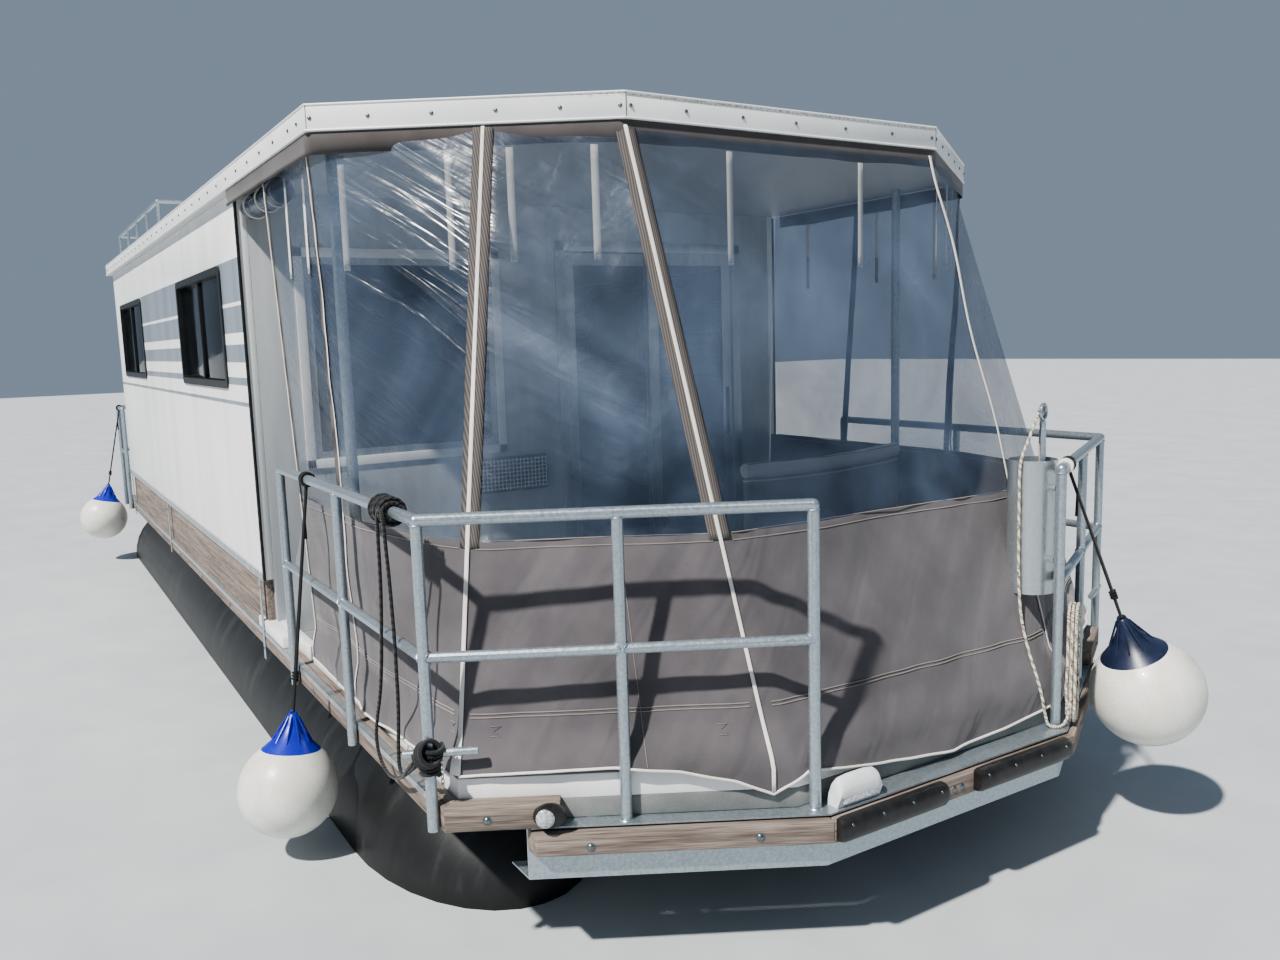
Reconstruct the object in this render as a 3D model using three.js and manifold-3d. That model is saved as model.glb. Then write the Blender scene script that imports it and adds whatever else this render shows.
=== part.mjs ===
// A pontoon houseboat: two steel tubes, a timber-edged deck, a panel cabin, and a bow terrace under a canvas tent.
// Millimetres. +X is the bow, +Y is port and +Z is up; the origin is on the waterline, amidships, on the centreline.
import * as THREE from "three";
import { mergeVertices } from "three/addons/utils/BufferGeometryUtils.js";
import Module from "manifold-3d";

const wasm = await Module();
wasm.setup();

// Driving dimensions
const HALF_LENGTH = 5000; // deck, from amidships to the bow ledge's front edge or to the stern edge
const GAP = 0.3; // between pieces that touch
const BOW_HALF = 638; // half width of the straight front of the bow
const SWEEP = THREE.MathUtils.degToRad(29.7); // angle of the swept bow edges to the beam
const LEDGE_END_Y = 1507; // where the ledge stops along each swept edge

const LEDGE_Z = 570; // top of the bow ledge
const FLOOR_Z = 640; // top of the deck
const RUB_TOP_Z = 655; // top of the rub timbers
const COAMING_TOP_Z = 725;
const SILL_TOP_Z = 955; // top of the plank that the cabin walls stand on
const ROOF_Z = 2981; // underside of the roof
const ROOF_THICK = 102;

const DECK_HALF = 1690;
const RUB_HALF = 1760;
const SILL_HALF = 1740;
const WALL_HALF = 1755;
const ROOF_HALF = 1804;
const RAIL_HALF = 1783; // centre of the galvanised side rails
const WALL = 50; // thickness of the cabin walls

const FRONT_WALL_X = 1785; // outer face of the cabin's front wall
const STERN_WALL_X = -4450; // outer face of the cabin's stern wall

const PONTOON_R = 500;
const PONTOON_Y = 1250;
const PONTOON_Z = 20;
const PONTOON_STERN_X = -4900;
const NOSE_START_X = 3150;
const NOSE_LENGTH = 870;

const RAIL_R = 21; // galvanised tube
const RAIL_TOP_Z = 1620;
const RAIL_MID_Z = 1164;

// Materials, one for each kind of finish
const finish = (color, roughness, metalness, extra = {}) =>
  new THREE.MeshStandardMaterial({ color, roughness, metalness, ...extra });
const hullSteel = finish(0x3d4345, 0.55, 0.2);
const galvanised = finish(0xaab4b8, 0.42, 0.85);
const aluminium = finish(0xb9bcbb, 0.5, 0.7);
const weatheredWood = finish(0x8d8278, 0.85, 0);
const deckPaint = finish(0x8f9290, 0.8, 0);
const whitePanel = finish(0xeceded, 0.45, 0);
const blackRubber = finish(0x26272a, 0.75, 0);
const tintedGlass = finish(0x2c3436, 0.08, 0, { transparent: true, opacity: 0.55 });
const doorFrame = finish(0xc9ced2, 0.45, 0.2);
const canvas = finish(0x77716e, 0.9, 0);
const fenderVinyl = finish(0xe9e9e2, 0.4, 0);
const blackRope = finish(0x232427, 0.9, 0);
const ivoryRope = finish(0xcfc7b4, 0.9, 0);
const motorBlack = finish(0x25282c, 0.35, 0.1);
const bronze = finish(0x9a8a5e, 0.4, 0.8);
const clearLens = finish(0xdfe5e6, 0.15, 0);

const boat = new THREE.Group();

// One named mesh for each sub-part
function add(name, geometry, material, parent = boat) {
  const mesh = new THREE.Mesh(geometry, material);
  mesh.name = name;
  parent.add(mesh);
  return mesh;
}

// A closed geometry as a solid that can be joined and cut
function solid(geometry) {
  const bare = geometry.clone();
  for (const key of Object.keys(bare.attributes)) {
    if (key !== "position") bare.deleteAttribute(key);
  }
  const merged = mergeVertices(bare, 1e-3);
  const vertProperties = merged.attributes.position.array;
  const triVerts = new Uint32Array(merged.index.array);
  return new wasm.Manifold(new wasm.Mesh({ numProp: 3, vertProperties, triVerts }));
}

function fromSolid(made) {
  const mesh = made.getMesh();
  const geometry = new THREE.BufferGeometry();
  geometry.setAttribute("position", new THREE.BufferAttribute(mesh.vertProperties, 3));
  geometry.setIndex(new THREE.BufferAttribute(mesh.triVerts, 1));
  return geometry;
}

const join = (...pieces) => fromSolid(pieces.map(solid).reduce((a, b) => a.add(b)));
const cut = (base, ...tools) => fromSolid(tools.map(solid).reduce((a, b) => a.subtract(b), solid(base)));

const vec = (x, y, z) => new THREE.Vector3(x, y, z);

function box(x0, x1, y0, y1, z0, z1) {
  const geometry = new THREE.BoxGeometry(x1 - x0, y1 - y0, z1 - z0);
  return geometry.translate((x0 + x1) / 2, (y0 + y1) / 2, (z0 + z1) / 2);
}

const shapeOf = (points) => new THREE.Shape(points.map(([a, b]) => new THREE.Vector2(a, b)));
const extrude = (points, depth) => new THREE.ExtrudeGeometry(shapeOf(points), { depth, bevelEnabled: false });

// A plan outline of [x, y] points between two heights
const plate = (points, z0, z1) => extrude(points, z1 - z0).translate(0, 0, z0);

// A side outline of [x, z] points between two distances across the boat
function sideProfile(points, y0, y1) {
  const basis = new THREE.Matrix4().makeBasis(vec(1, 0, 0), vec(0, 0, 1), vec(0, -1, 0));
  return extrude(points, y1 - y0).applyMatrix4(basis).translate(0, y1, 0);
}

// A round bar between two points
function bar(from, to, radius, sides = 10) {
  const along = to.clone().sub(from);
  const geometry = new THREE.CylinderGeometry(radius, radius, along.length(), sides);
  const turn = new THREE.Quaternion().setFromUnitVectors(vec(0, 1, 0), along.normalize());
  const middle = from.clone().add(to).multiplyScalar(0.5);
  return geometry.applyQuaternion(turn).translate(middle.x, middle.y, middle.z);
}

const ball = (at, radius, across = 12, down = 8) =>
  new THREE.SphereGeometry(radius, across, down).translate(at.x, at.y, at.z);

// Bars through a row of points, with a ball in each bend
function bentTube(points, radius, sides = 10) {
  const bars = points.slice(1).map((point, i) => bar(points[i], point, radius, sides));
  const bends = points.slice(1, -1).map((point) => ball(point, radius, sides, 6));
  return join(...bars, ...bends);
}

// A flat ring of round section about an axis
function ring(at, axis, radius, thickness, around = 14) {
  const geometry = new THREE.TorusGeometry(radius, thickness, 8, around);
  const turn = new THREE.Quaternion().setFromUnitVectors(vec(0, 0, 1), axis.clone().normalize());
  return geometry.applyQuaternion(turn).translate(at.x, at.y, at.z);
}

// A rope along a smooth curve through a row of points, its ends cut square
function ropeTube(points, radius, steps, sides = 10) {
  const path = new THREE.CatmullRomCurve3(points, false, "centripetal");
  path.arcLengthDivisions = 600;
  const section = [];
  for (let i = 0; i < sides; i += 1) {
    const angle = (i / sides) * 2 * Math.PI;
    section.push([radius * Math.cos(angle), radius * Math.sin(angle)]);
  }
  return new THREE.ExtrudeGeometry(shapeOf(section), { steps, extrudePath: path });
}

// A sleeve of wound rope round a straight tube
function winding(from, to, inner, outer) {
  const length = to.clone().sub(from).length();
  const profile = [
    [inner, 0],
    [outer - 4, 0],
    [outer, 6],
    [outer, length - 6],
    [outer - 4, length],
    [inner, length],
    [inner, 0],
  ].map(([r, along]) => new THREE.Vector2(r, along));
  const turn = new THREE.Quaternion().setFromUnitVectors(vec(0, 1, 0), to.clone().sub(from).normalize());
  return new THREE.LatheGeometry(profile, 20).applyQuaternion(turn).translate(from.x, from.y, from.z);
}

// The bow's edge in plan. inset is measured square to a swept edge, frontInset from the straight front.
function bowCorner(inset, frontInset) {
  const x = HALF_LENGTH - frontInset;
  const y = BOW_HALF + (frontInset - inset / Math.cos(SWEEP)) / Math.tan(SWEEP);
  return [x, y];
}

// Where an inset line along the swept edge reaches a distance y off the centreline
const sweptX = (inset, y) => HALF_LENGTH - (y - BOW_HALF) * Math.tan(SWEEP) - inset / Math.cos(SWEEP);

// Where an inset line is, a length along the outer swept edge from the corner
function sweptEnd(inset, length) {
  const x = HALF_LENGTH - length * Math.sin(SWEEP) - inset * Math.cos(SWEEP);
  const y = BOW_HALF + length * Math.cos(SWEEP) - inset * Math.sin(SWEEP);
  return [x, y];
}

const mirrorY = ([x, y]) => [x, -y];

// A band that follows the ledge round the bow between two insets, its ends cut fore and aft
function ledgeBand(outer, inner, z0, z1, frontExtra = 0) {
  const near = [[sweptX(outer, LEDGE_END_Y), LEDGE_END_Y], bowCorner(outer, outer)];
  const far = [bowCorner(inner, inner + frontExtra), [sweptX(inner, LEDGE_END_Y), LEDGE_END_Y]];
  const port = [...near.map(mirrorY), ...near.slice().reverse()];
  const starboard = [...far.slice().reverse(), ...far.map(mirrorY)];
  return plate([...port, ...starboard], z0, z1);
}

// Hull: each pontoon is a round tube with a domed nose and upright saddles that carry the deck beams.
const BEAM_XS = [-4700, -3850, -3000, -2150, -1300, -450, 400, 1250, 2100, 2950, 3750];
const BEAM_Z0 = 530;
const SADDLE_HALF = 160;

function pontoon(y) {
  const steps = 8;
  const stern = PONTOON_STERN_X;
  const profile = [
    [0, stern],
    [PONTOON_R - 60, stern],
    [PONTOON_R - 15, stern + 20],
    [PONTOON_R, stern + 65],
    [PONTOON_R, NOSE_START_X],
  ];
  for (let i = 1; i <= steps; i += 1) {
    const angle = (i / steps) * (Math.PI / 2);
    const radius = i === steps ? 0 : PONTOON_R * Math.cos(angle);
    profile.push([radius, NOSE_START_X + NOSE_LENGTH * Math.sin(angle)]);
  }
  const points = profile.map(([radius, along]) => new THREE.Vector2(radius, along));
  const tube = new THREE.LatheGeometry(points, 32).rotateZ(-Math.PI / 2).translate(0, y, PONTOON_Z);
  const onTube = BEAM_XS.filter((x) => x < NOSE_START_X);
  const saddles = onTube.map((x) => box(x - 8, x + 8, y - SADDLE_HALF, y + SADDLE_HALF, 400, BEAM_Z0 - GAP));
  return join(tube, ...saddles);
}
add("pontoon_starboard", pontoon(-PONTOON_Y), hullSteel);
add("pontoon_port", pontoon(PONTOON_Y), hullSteel);

// Deck frame: cross beams on the saddles, stringers, and the bow channel that they run into
const FRAME_TOP = LEDGE_Z - GAP;
const TIMBER = 55; // thickness of the ledge timbers, which stand on the channel's outer face
const CHANNEL = { web: TIMBER + 1, sheet: 6, bottomZ: 370, topOuter: 27, topInner: 88, frontExtra: 42 };
const beams = BEAM_XS.map((x) => box(x - 35, x + 35, -1640, 1640, BEAM_Z0, FRAME_TOP));
const stringerEnd = (y) => Math.min(HALF_LENGTH - CHANNEL.web - 3, sweptX(CHANNEL.web + 3, Math.abs(y)));
const stringers = [-1250, -420, 420, 1250].map((y) => {
  const [near, far] = [y - 30, y + 30];
  return plate([[-4950, near], [stringerEnd(near), near], [stringerEnd(far), far], [-4950, far]], BEAM_Z0 + 1, FRAME_TOP - 1);
});
const channel = [
  ledgeBand(CHANNEL.topOuter, CHANNEL.topInner, FRAME_TOP - CHANNEL.sheet, FRAME_TOP, CHANNEL.frontExtra),
  ledgeBand(CHANNEL.web, CHANNEL.web + CHANNEL.sheet, CHANNEL.bottomZ, FRAME_TOP),
  ledgeBand(CHANNEL.web, CHANNEL.web + 120, CHANNEL.bottomZ, CHANNEL.bottomZ + CHANNEL.sheet),
];
add("deck_frame", join(...beams, ...stringers, ...channel), galvanised);

// Deck: one slab, set back from the rub timbers
const DECK_INSET = CHANNEL.topInner;
const DECK_FRONT_INSET = 130;
const deckSide = [sweptX(DECK_INSET, DECK_HALF), DECK_HALF];
const deckOutline = [
  [-HALF_LENGTH, -DECK_HALF],
  mirrorY(deckSide),
  mirrorY(bowCorner(DECK_INSET, DECK_FRONT_INSET)),
  bowCorner(DECK_INSET, DECK_FRONT_INSET),
  deckSide,
  [-HALF_LENGTH, DECK_HALF],
];
add("deck", plate(deckOutline, LEDGE_Z, FLOOR_Z), deckPaint);

// Timber edges: a side rub timber and, mitred to it, a short piece along the swept edge
const SWEPT_RUB = 385;
const SWEPT_RUB_INSET = 17;
const RUB_GAP = 0.5;
function rubTimber(side) {
  const outerCorner = [sweptX(SWEPT_RUB_INSET, RUB_HALF), RUB_HALF];
  const cornerLength = (RUB_HALF - BOW_HALF + SWEPT_RUB_INSET * Math.sin(SWEEP)) / Math.cos(SWEEP);
  const points = [
    [-HALF_LENGTH, DECK_HALF + RUB_GAP],
    [sweptX(DECK_INSET - RUB_GAP, DECK_HALF + RUB_GAP), DECK_HALF + RUB_GAP],
    sweptEnd(DECK_INSET - RUB_GAP, cornerLength - SWEPT_RUB),
    sweptEnd(SWEPT_RUB_INSET, cornerLength - SWEPT_RUB),
    outerCorner,
    [-HALF_LENGTH, RUB_HALF],
  ];
  return plate(side > 0 ? points : points.map(mirrorY).reverse(), LEDGE_Z + GAP, RUB_TOP_Z);
}
add("rub_timber_starboard", rubTimber(-1), weatheredWood);
add("rub_timber_port", rubTimber(1), weatheredWood);

// Ledge timbers: one along the front and one along each swept edge, mitred at the corners
const TIMBER_Z0 = 476;
const TIMBER_Z1 = 556;
const MITRE = 0.6;
const innerCorner = bowCorner(TIMBER, TIMBER);
const sweptTimber = [
  [innerCorner[0], innerCorner[1] + MITRE],
  [HALF_LENGTH, BOW_HALF + MITRE],
  [sweptX(0, LEDGE_END_Y), LEDGE_END_Y],
  [sweptX(TIMBER, LEDGE_END_Y), LEDGE_END_Y],
];
const frontTimber = [
  [innerCorner[0], MITRE - innerCorner[1]],
  [HALF_LENGTH, MITRE - BOW_HALF],
  [HALF_LENGTH, BOW_HALF - MITRE],
  [innerCorner[0], innerCorner[1] - MITRE],
];
add("ledge_timber_starboard", plate(sweptTimber.map(mirrorY).reverse(), TIMBER_Z0, TIMBER_Z1), weatheredWood);
add("ledge_timber_front", plate(frontTimber, TIMBER_Z0, TIMBER_Z1), weatheredWood);
add("ledge_timber_port", plate(sweptTimber, TIMBER_Z0, TIMBER_Z1), weatheredWood);

// Rubber bumpers of D section on the front timber
const BUMPER = { depth: 42, z0: 480, z1: 568 };
const BUMPERS = [
  // name, starboard end y, port end y
  ["bow_bumper_starboard", -632, -121],
  ["bow_bumper_port", 45, 580],
];
for (const [name, y0, y1] of BUMPERS) {
  const half = (BUMPER.z1 - BUMPER.z0) / 2;
  const middle = (BUMPER.z1 + BUMPER.z0) / 2;
  const curve = [];
  for (let i = 0; i <= 8; i += 1) {
    const angle = -Math.PI / 2 + (i / 8) * Math.PI;
    curve.push([HALF_LENGTH + GAP + BUMPER.depth * Math.cos(angle), middle + half * Math.sin(angle)]);
  }
  add(name, sideProfile(curve, y0, y1), blackRubber);
}

// Coaming: a low white wall round the terrace, on the deck's edge
const COAMING = 40;
const COAMING_X0 = FRONT_WALL_X + 2;
const coamingOuter = [
  [COAMING_X0, DECK_HALF],
  [sweptX(DECK_INSET, DECK_HALF), DECK_HALF],
  bowCorner(DECK_INSET, DECK_FRONT_INSET),
];
const coamingInner = [
  bowCorner(DECK_INSET + COAMING, DECK_FRONT_INSET + COAMING),
  [sweptX(DECK_INSET + COAMING, DECK_HALF - COAMING), DECK_HALF - COAMING],
  [COAMING_X0, DECK_HALF - COAMING],
];
const coamingOutline = [
  ...coamingOuter.map(mirrorY),
  ...coamingOuter.slice().reverse(),
  ...coamingInner.slice().reverse(),
  ...coamingInner.map(mirrorY),
];
add("coaming", plate(coamingOutline, FLOOR_Z + GAP, COAMING_TOP_Z), whitePanel);

// Sill planks that the cabin walls stand on
for (const [name, side] of [["sill_plank_starboard", -1], ["sill_plank_port", 1]]) {
  const edges = [side * (SILL_HALF - 45), side * SILL_HALF].sort((a, b) => a - b);
  const x1 = FRONT_WALL_X - WALL - 2;
  add(name, box(STERN_WALL_X + WALL + 2, x1, ...edges, RUB_TOP_Z + GAP, SILL_TOP_Z), weatheredWood);
}

// Galvanised rails at the bow: top and middle rail, with a mooring crossbar on the corner post
const RAIL_AFT_X = 2454;
const RAIL_CORNER = [4300, RAIL_HALF];
const RAIL_END = [4907, 643];
const RAIL_SIDE_POST_X = 3387;
const RAIL_SWEPT_POST = [(RAIL_CORNER[0] + RAIL_END[0]) / 2, (RAIL_CORNER[1] + RAIL_END[1]) / 2];
const CROSSBAR = { from: [4262, 1860], to: [4372, 1640], z: 840, radius: 15 };
const POST_FOOT_Z = LEDGE_Z + GAP;

function bowRail(side) {
  const at = ([x, y], z) => vec(x, side * y, z);
  const topRail = bentTube(
    [
      at([RAIL_AFT_X, RAIL_HALF], POST_FOOT_Z),
      at([RAIL_AFT_X, RAIL_HALF], RAIL_TOP_Z),
      at(RAIL_CORNER, RAIL_TOP_Z),
      at(RAIL_END, RAIL_TOP_Z),
      at(RAIL_END, POST_FOOT_Z),
    ],
    RAIL_R,
  );
  const midRail = bentTube(
    [at([RAIL_AFT_X, RAIL_HALF], RAIL_MID_Z), at(RAIL_CORNER, RAIL_MID_Z), at(RAIL_END, RAIL_MID_Z)],
    RAIL_R - 2,
  );
  const posts = [[RAIL_SIDE_POST_X, RAIL_HALF], RAIL_CORNER, RAIL_SWEPT_POST].map((foot) =>
    bar(at(foot, POST_FOOT_Z), at(foot, RAIL_TOP_Z), RAIL_R - 1),
  );
  const crossbar = bar(at(CROSSBAR.from, CROSSBAR.z), at(CROSSBAR.to, CROSSBAR.z), CROSSBAR.radius);
  return join(topRail, midRail, ...posts, crossbar);
}
add("bow_rail_starboard", bowRail(-1), galvanised);
add("bow_rail_port", bowRail(1), galvanised);

// Stern rails: from the cabin corner round the platform's edge, with a gap for the motor
const STERN_RAIL_X = -4930;
function sternRail(side, endY) {
  const at = (x, y, z) => vec(x, y, z);
  const sideY = side * RAIL_HALF;
  const run = (z) => [at(-4500, sideY, z), at(STERN_RAIL_X, sideY, z), at(STERN_RAIL_X, endY, z)];
  const top = bentTube(
    [at(-4500, sideY, POST_FOOT_Z), ...run(RAIL_TOP_Z), at(STERN_RAIL_X, endY, FLOOR_Z + GAP)],
    RAIL_R,
  );
  const corner = bar(at(STERN_RAIL_X, sideY, POST_FOOT_Z), at(STERN_RAIL_X, sideY, RAIL_TOP_Z), RAIL_R - 1);
  return join(top, bentTube(run(RAIL_MID_Z), RAIL_R - 2), corner);
}
add("stern_rail_starboard", sternRail(-1, -450), galvanised);
add("stern_rail_port", sternRail(1, 1250), galvanised);

// Cabin walls with their windows and doorways cut out
const WINDOW_W = 1560;
const WINDOW_H = 650;
const WINDOW_Z = 2310;
const WINDOWS = [
  // name, middle x, side
  ["window_starboard_fore", 440, -1],
  ["window_starboard_aft", -3195, -1],
  ["window_port_fore", 0, 1],
  ["window_port_aft", -3195, 1],
];
const FIT = 0.3; // clearance of a window in its cutout

function sideWall(side) {
  const faces = [side * (WALL_HALF - WALL), side * WALL_HALF].sort((a, b) => a - b);
  const wall = box(STERN_WALL_X, FRONT_WALL_X, ...faces, SILL_TOP_Z + GAP, ROOF_Z - GAP);
  const holes = WINDOWS.filter(([, , windowSide]) => windowSide === side).map(([, x]) =>
    box(
      x - WINDOW_W / 2,
      x + WINDOW_W / 2,
      side * WALL_HALF - 100,
      side * WALL_HALF + 100,
      WINDOW_Z - WINDOW_H / 2,
      WINDOW_Z + WINDOW_H / 2,
    ),
  );
  return cut(wall, ...holes);
}
add("wall_starboard", sideWall(-1), whitePanel);
add("wall_port", sideWall(1), whitePanel);

// A framed pane: a frame of depth, with the pane left in the middle, wide along x and tall along z
function framedPane(width, height, depth, border, pane) {
  const frame = new THREE.BoxGeometry(width, depth, height);
  const recess = (depth - pane) / 2 + 1;
  const hollow = () => new THREE.BoxGeometry(width - 2 * border, recess, height - 2 * border);
  const offset = pane / 2 + recess / 2;
  return cut(frame, hollow().translate(0, offset, 0), hollow().translate(0, -offset, 0));
}

const FLANGE = 12; // how far a window frame stands out of the wall
for (const [name, x, side] of WINDOWS) {
  const plug = framedPane(WINDOW_W - 2 * FIT, WINDOW_H - 2 * FIT, WALL, 22, 8);
  const lip = cut(
    new THREE.BoxGeometry(WINDOW_W + 40, FLANGE, WINDOW_H + 40),
    new THREE.BoxGeometry(WINDOW_W - 44, FLANGE + 2, WINDOW_H - 44),
  );
  lip.translate(0, side * (WALL / 2 + FLANGE / 2 + GAP), 0);
  const neck = cut(
    new THREE.BoxGeometry(WINDOW_W - 2 * FIT, 4, WINDOW_H - 2 * FIT),
    new THREE.BoxGeometry(WINDOW_W - 44, 6, WINDOW_H - 44),
  );
  neck.translate(0, side * (WALL / 2), 0);
  const window = add(name, join(plug, neck, lip), tintedGlass);
  window.position.set(x, side * (WALL_HALF - WALL / 2), WINDOW_Z);
}

// Front wall: a tall fixed window to starboard and a two-leaf sliding door to port
const END_WALL_HALF = WALL_HALF - WALL - GAP;
const END_WALL_FOOT_HALF = DECK_HALF - 0.5; // narrower between the rub timbers
const DOOR_Y0 = 123;
const DOOR_Y1 = 1387;
const DOOR_TOP = 2720;
const FRONT_WINDOW = { y: -900, z: 2120, width: 1100, height: 1100 };
function endWall(x0, ...holes) {
  const step = RUB_TOP_Z + 1;
  const foot = box(x0, x0 + WALL, -END_WALL_FOOT_HALF, END_WALL_FOOT_HALF, FLOOR_Z + GAP, step);
  const panel = box(x0, x0 + WALL, -END_WALL_HALF, END_WALL_HALF, step, ROOF_Z - GAP);
  return cut(join(foot, panel), ...holes);
}
const wallX0 = FRONT_WALL_X - WALL;
const frontWall = endWall(
  wallX0,
  box(wallX0 - 10, FRONT_WALL_X + 10, DOOR_Y0, DOOR_Y1, FLOOR_Z - 10, DOOR_TOP),
  box(
    wallX0 - 10,
    FRONT_WALL_X + 10,
    FRONT_WINDOW.y - FRONT_WINDOW.width / 2,
    FRONT_WINDOW.y + FRONT_WINDOW.width / 2,
    FRONT_WINDOW.z - FRONT_WINDOW.height / 2,
    FRONT_WINDOW.z + FRONT_WINDOW.height / 2,
  ),
);
add("wall_front", frontWall, whitePanel);

const frontWindow = add(
  "window_front",
  framedPane(FRONT_WINDOW.width - 2 * FIT, FRONT_WINDOW.height - 2 * FIT, WALL, 45, 8),
  tintedGlass,
);
frontWindow.rotation.z = Math.PI / 2;
frontWindow.position.set(FRONT_WALL_X - WALL / 2, FRONT_WINDOW.y, FRONT_WINDOW.z);

// The fixed leaf is outside, the sliding leaf inside it
const LEAF = 20;
const LEAF_W = 660;
const DOOR_CLEAR = 6;
const leafHeight = DOOR_TOP - FLOOR_Z - 2 * DOOR_CLEAR;
const LEAF_STILE = 75;
const leafZ = (DOOR_TOP + FLOOR_Z) / 2;
function doorLeaf(name, x, y, width, height) {
  const leaf = add(name, framedPane(width, height, LEAF, LEAF_STILE, 6), doorFrame);
  leaf.rotation.z = Math.PI / 2;
  leaf.position.set(x, y, leafZ);
}
const FIXED_LEAF_X = FRONT_WALL_X - 12;
const SLIDING_LEAF_X = FIXED_LEAF_X - LEAF - DOOR_CLEAR;
const fixedHeight = DOOR_TOP - FLOOR_Z - 2 * GAP - 0.4;
doorLeaf("front_door_fixed_leaf", FIXED_LEAF_X, DOOR_Y1 - GAP - LEAF_W / 2, LEAF_W, fixedHeight);
doorLeaf("front_door_leaf", SLIDING_LEAF_X, DOOR_Y0 + DOOR_CLEAR + LEAF_W / 2, LEAF_W, leafHeight);

// Stern wall with a hinged door that opens inwards, with a round porthole
const STERN_DOOR_Y0 = 440;
const STERN_DOOR_Y1 = 1140;
const STERN_DOOR_TOP = 2640;
const PORTHOLE_R = 130;
const PORTHOLE_Z = 2290;
const sternWall = endWall(
  STERN_WALL_X,
  box(STERN_WALL_X - 10, STERN_WALL_X + WALL + 10, STERN_DOOR_Y0, STERN_DOOR_Y1, FLOOR_Z - 10, STERN_DOOR_TOP),
);
add("wall_stern", sternWall, whitePanel);

const doorMiddle = (STERN_DOOR_Y0 + STERN_DOOR_Y1) / 2;
const doorPanel = box(
  STERN_WALL_X + 5,
  STERN_WALL_X + 45,
  STERN_DOOR_Y0 + DOOR_CLEAR,
  STERN_DOOR_Y1 - DOOR_CLEAR,
  FLOOR_Z + DOOR_CLEAR,
  STERN_DOOR_TOP - DOOR_CLEAR,
);
const portholeAt = vec(STERN_WALL_X, doorMiddle, PORTHOLE_Z);
const portholeRim = ring(portholeAt.clone().add(vec(4, 0, 0)), vec(1, 0, 0), PORTHOLE_R, 16, 20);
const handle = bar(
  vec(STERN_WALL_X - 30, STERN_DOOR_Y0 + 60, 1690),
  vec(STERN_WALL_X - 30, STERN_DOOR_Y0 + 170, 1690),
  9,
);
const handleStem = bar(
  vec(STERN_WALL_X - 30, STERN_DOOR_Y0 + 66, 1690),
  vec(STERN_WALL_X + 10, STERN_DOOR_Y0 + 66, 1690),
  9,
);
add("stern_door_leaf", join(doorPanel, portholeRim, handle, handleStem), doorFrame);

// Roof: one flat panel that runs out over the terrace, with chamfered front corners
const ROOF_FRONT_X = 4089;
const ROOF_STERN_X = -4550;
const ROOF_CHAMFER_X = 3400;
const ROOF_FRONT_HALF = 818;
const roofOutline = [
  [ROOF_STERN_X, -ROOF_HALF],
  [ROOF_CHAMFER_X, -ROOF_HALF],
  [ROOF_FRONT_X, -ROOF_FRONT_HALF],
  [ROOF_FRONT_X, ROOF_FRONT_HALF],
  [ROOF_CHAMFER_X, ROOF_HALF],
  [ROOF_STERN_X, ROOF_HALF],
];
add("roof", plate(roofOutline, ROOF_Z, ROOF_Z + ROOF_THICK), whitePanel);

// Posts that carry the roof over the terrace
for (const [name, side] of [["roof_post_starboard", -1], ["roof_post_port", 1]]) {
  const foot = vec(3070, side * 1618, FLOOR_Z + GAP);
  const head = vec(3070, side * 1618, ROOF_Z - GAP);
  add(name, bar(foot, head, 25, 12), galvanised);
}

// A low rail round the aft roof
const ROOF_TOP = ROOF_Z + ROOF_THICK;
const ROOF_RAIL = { x0: -4200, x1: -1450, y: 1680, height: 260, radius: 14, bays: 4 };
function roofRail() {
  const { x0, x1, y, height, radius, bays } = ROOF_RAIL;
  const z = ROOF_TOP + height;
  const corners = [vec(x0, -y, z), vec(x1, -y, z), vec(x1, y, z), vec(x0, y, z), vec(x0, -y, z)];
  const sides = corners.slice(1).map((point, i) => bar(corners[i], point, radius, 8));
  const bends = corners.slice(1).map((point) => ball(point, radius, 8, 6));
  const posts = [];
  for (let i = 0; i <= bays; i += 1) {
    const x = x0 + (i / bays) * (x1 - x0);
    for (const postY of [-y, y]) {
      posts.push(bar(vec(x, postY, ROOF_TOP + GAP), vec(x, postY, z), radius - 1, 8));
    }
  }
  return join(...sides, ...bends, ...posts);
}
add("roof_rail", roofRail(), galvanised);

// Ladder from the stern platform to the roof
function sternLadder() {
  const foot = vec(-4880, -1620, FLOOR_Z + 2.5);
  const head = vec(-4572, -1620, ROOF_TOP + 160);
  const stile = (y) => [foot.clone().setY(y), head.clone().setY(y)];
  const stiles = [-1620, -1270].map((y) => bar(...stile(y), 15, 8));
  const rungs = [];
  const count = 9;
  for (let i = 0; i < count; i += 1) {
    const at = foot.clone().lerp(head, 0.1 + 0.09 * i);
    rungs.push(bar(at.clone().setY(-1620), at.clone().setY(-1270), 11, 8));
  }
  return join(...stiles, ...rungs);
}
add("stern_ladder", sternLadder(), galvanised);

// Tent: panels hang from the roof's edge and lean out to the coaming
const TENT_TOP_Z = ROOF_Z - 5;
const TENT_FOOT_Z = COAMING_TOP_Z + 4;
const CANVAS = 8;
const ZIP_AFT_X = 2530; // rear zip of the side panels, and the front edge of the side door
const DOOR_FLAP_X = FRONT_WALL_X + 6;
const TENT = {
  // corner: [top x, top y], [foot x, foot y], inward step in plan
  aft: [[DOOR_FLAP_X, 1779], [DOOR_FLAP_X, 1682], [0, -1]],
  zip: [[ZIP_AFT_X, 1779], [ZIP_AFT_X, 1682], [0, -1]],
  side: [[3392, 1779], [3470, 1682], [-0.2, -1]],
  sideEnd: [[3776, 1253], [4288, 1684], [-0.4, -0.9]],
  bowStart: [[3780, 1247], [4305, 1680], [-0.4, -0.9]],
  bowEnd: [[4068, 815], [4817, 764], [-0.85, -0.5]],
  frontStart: [[4071, 809], [4822, 755], [-0.85, -0.5]],
  front: [[4073, 735], [4856, 690], [-1, -0.3]],
};
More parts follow.
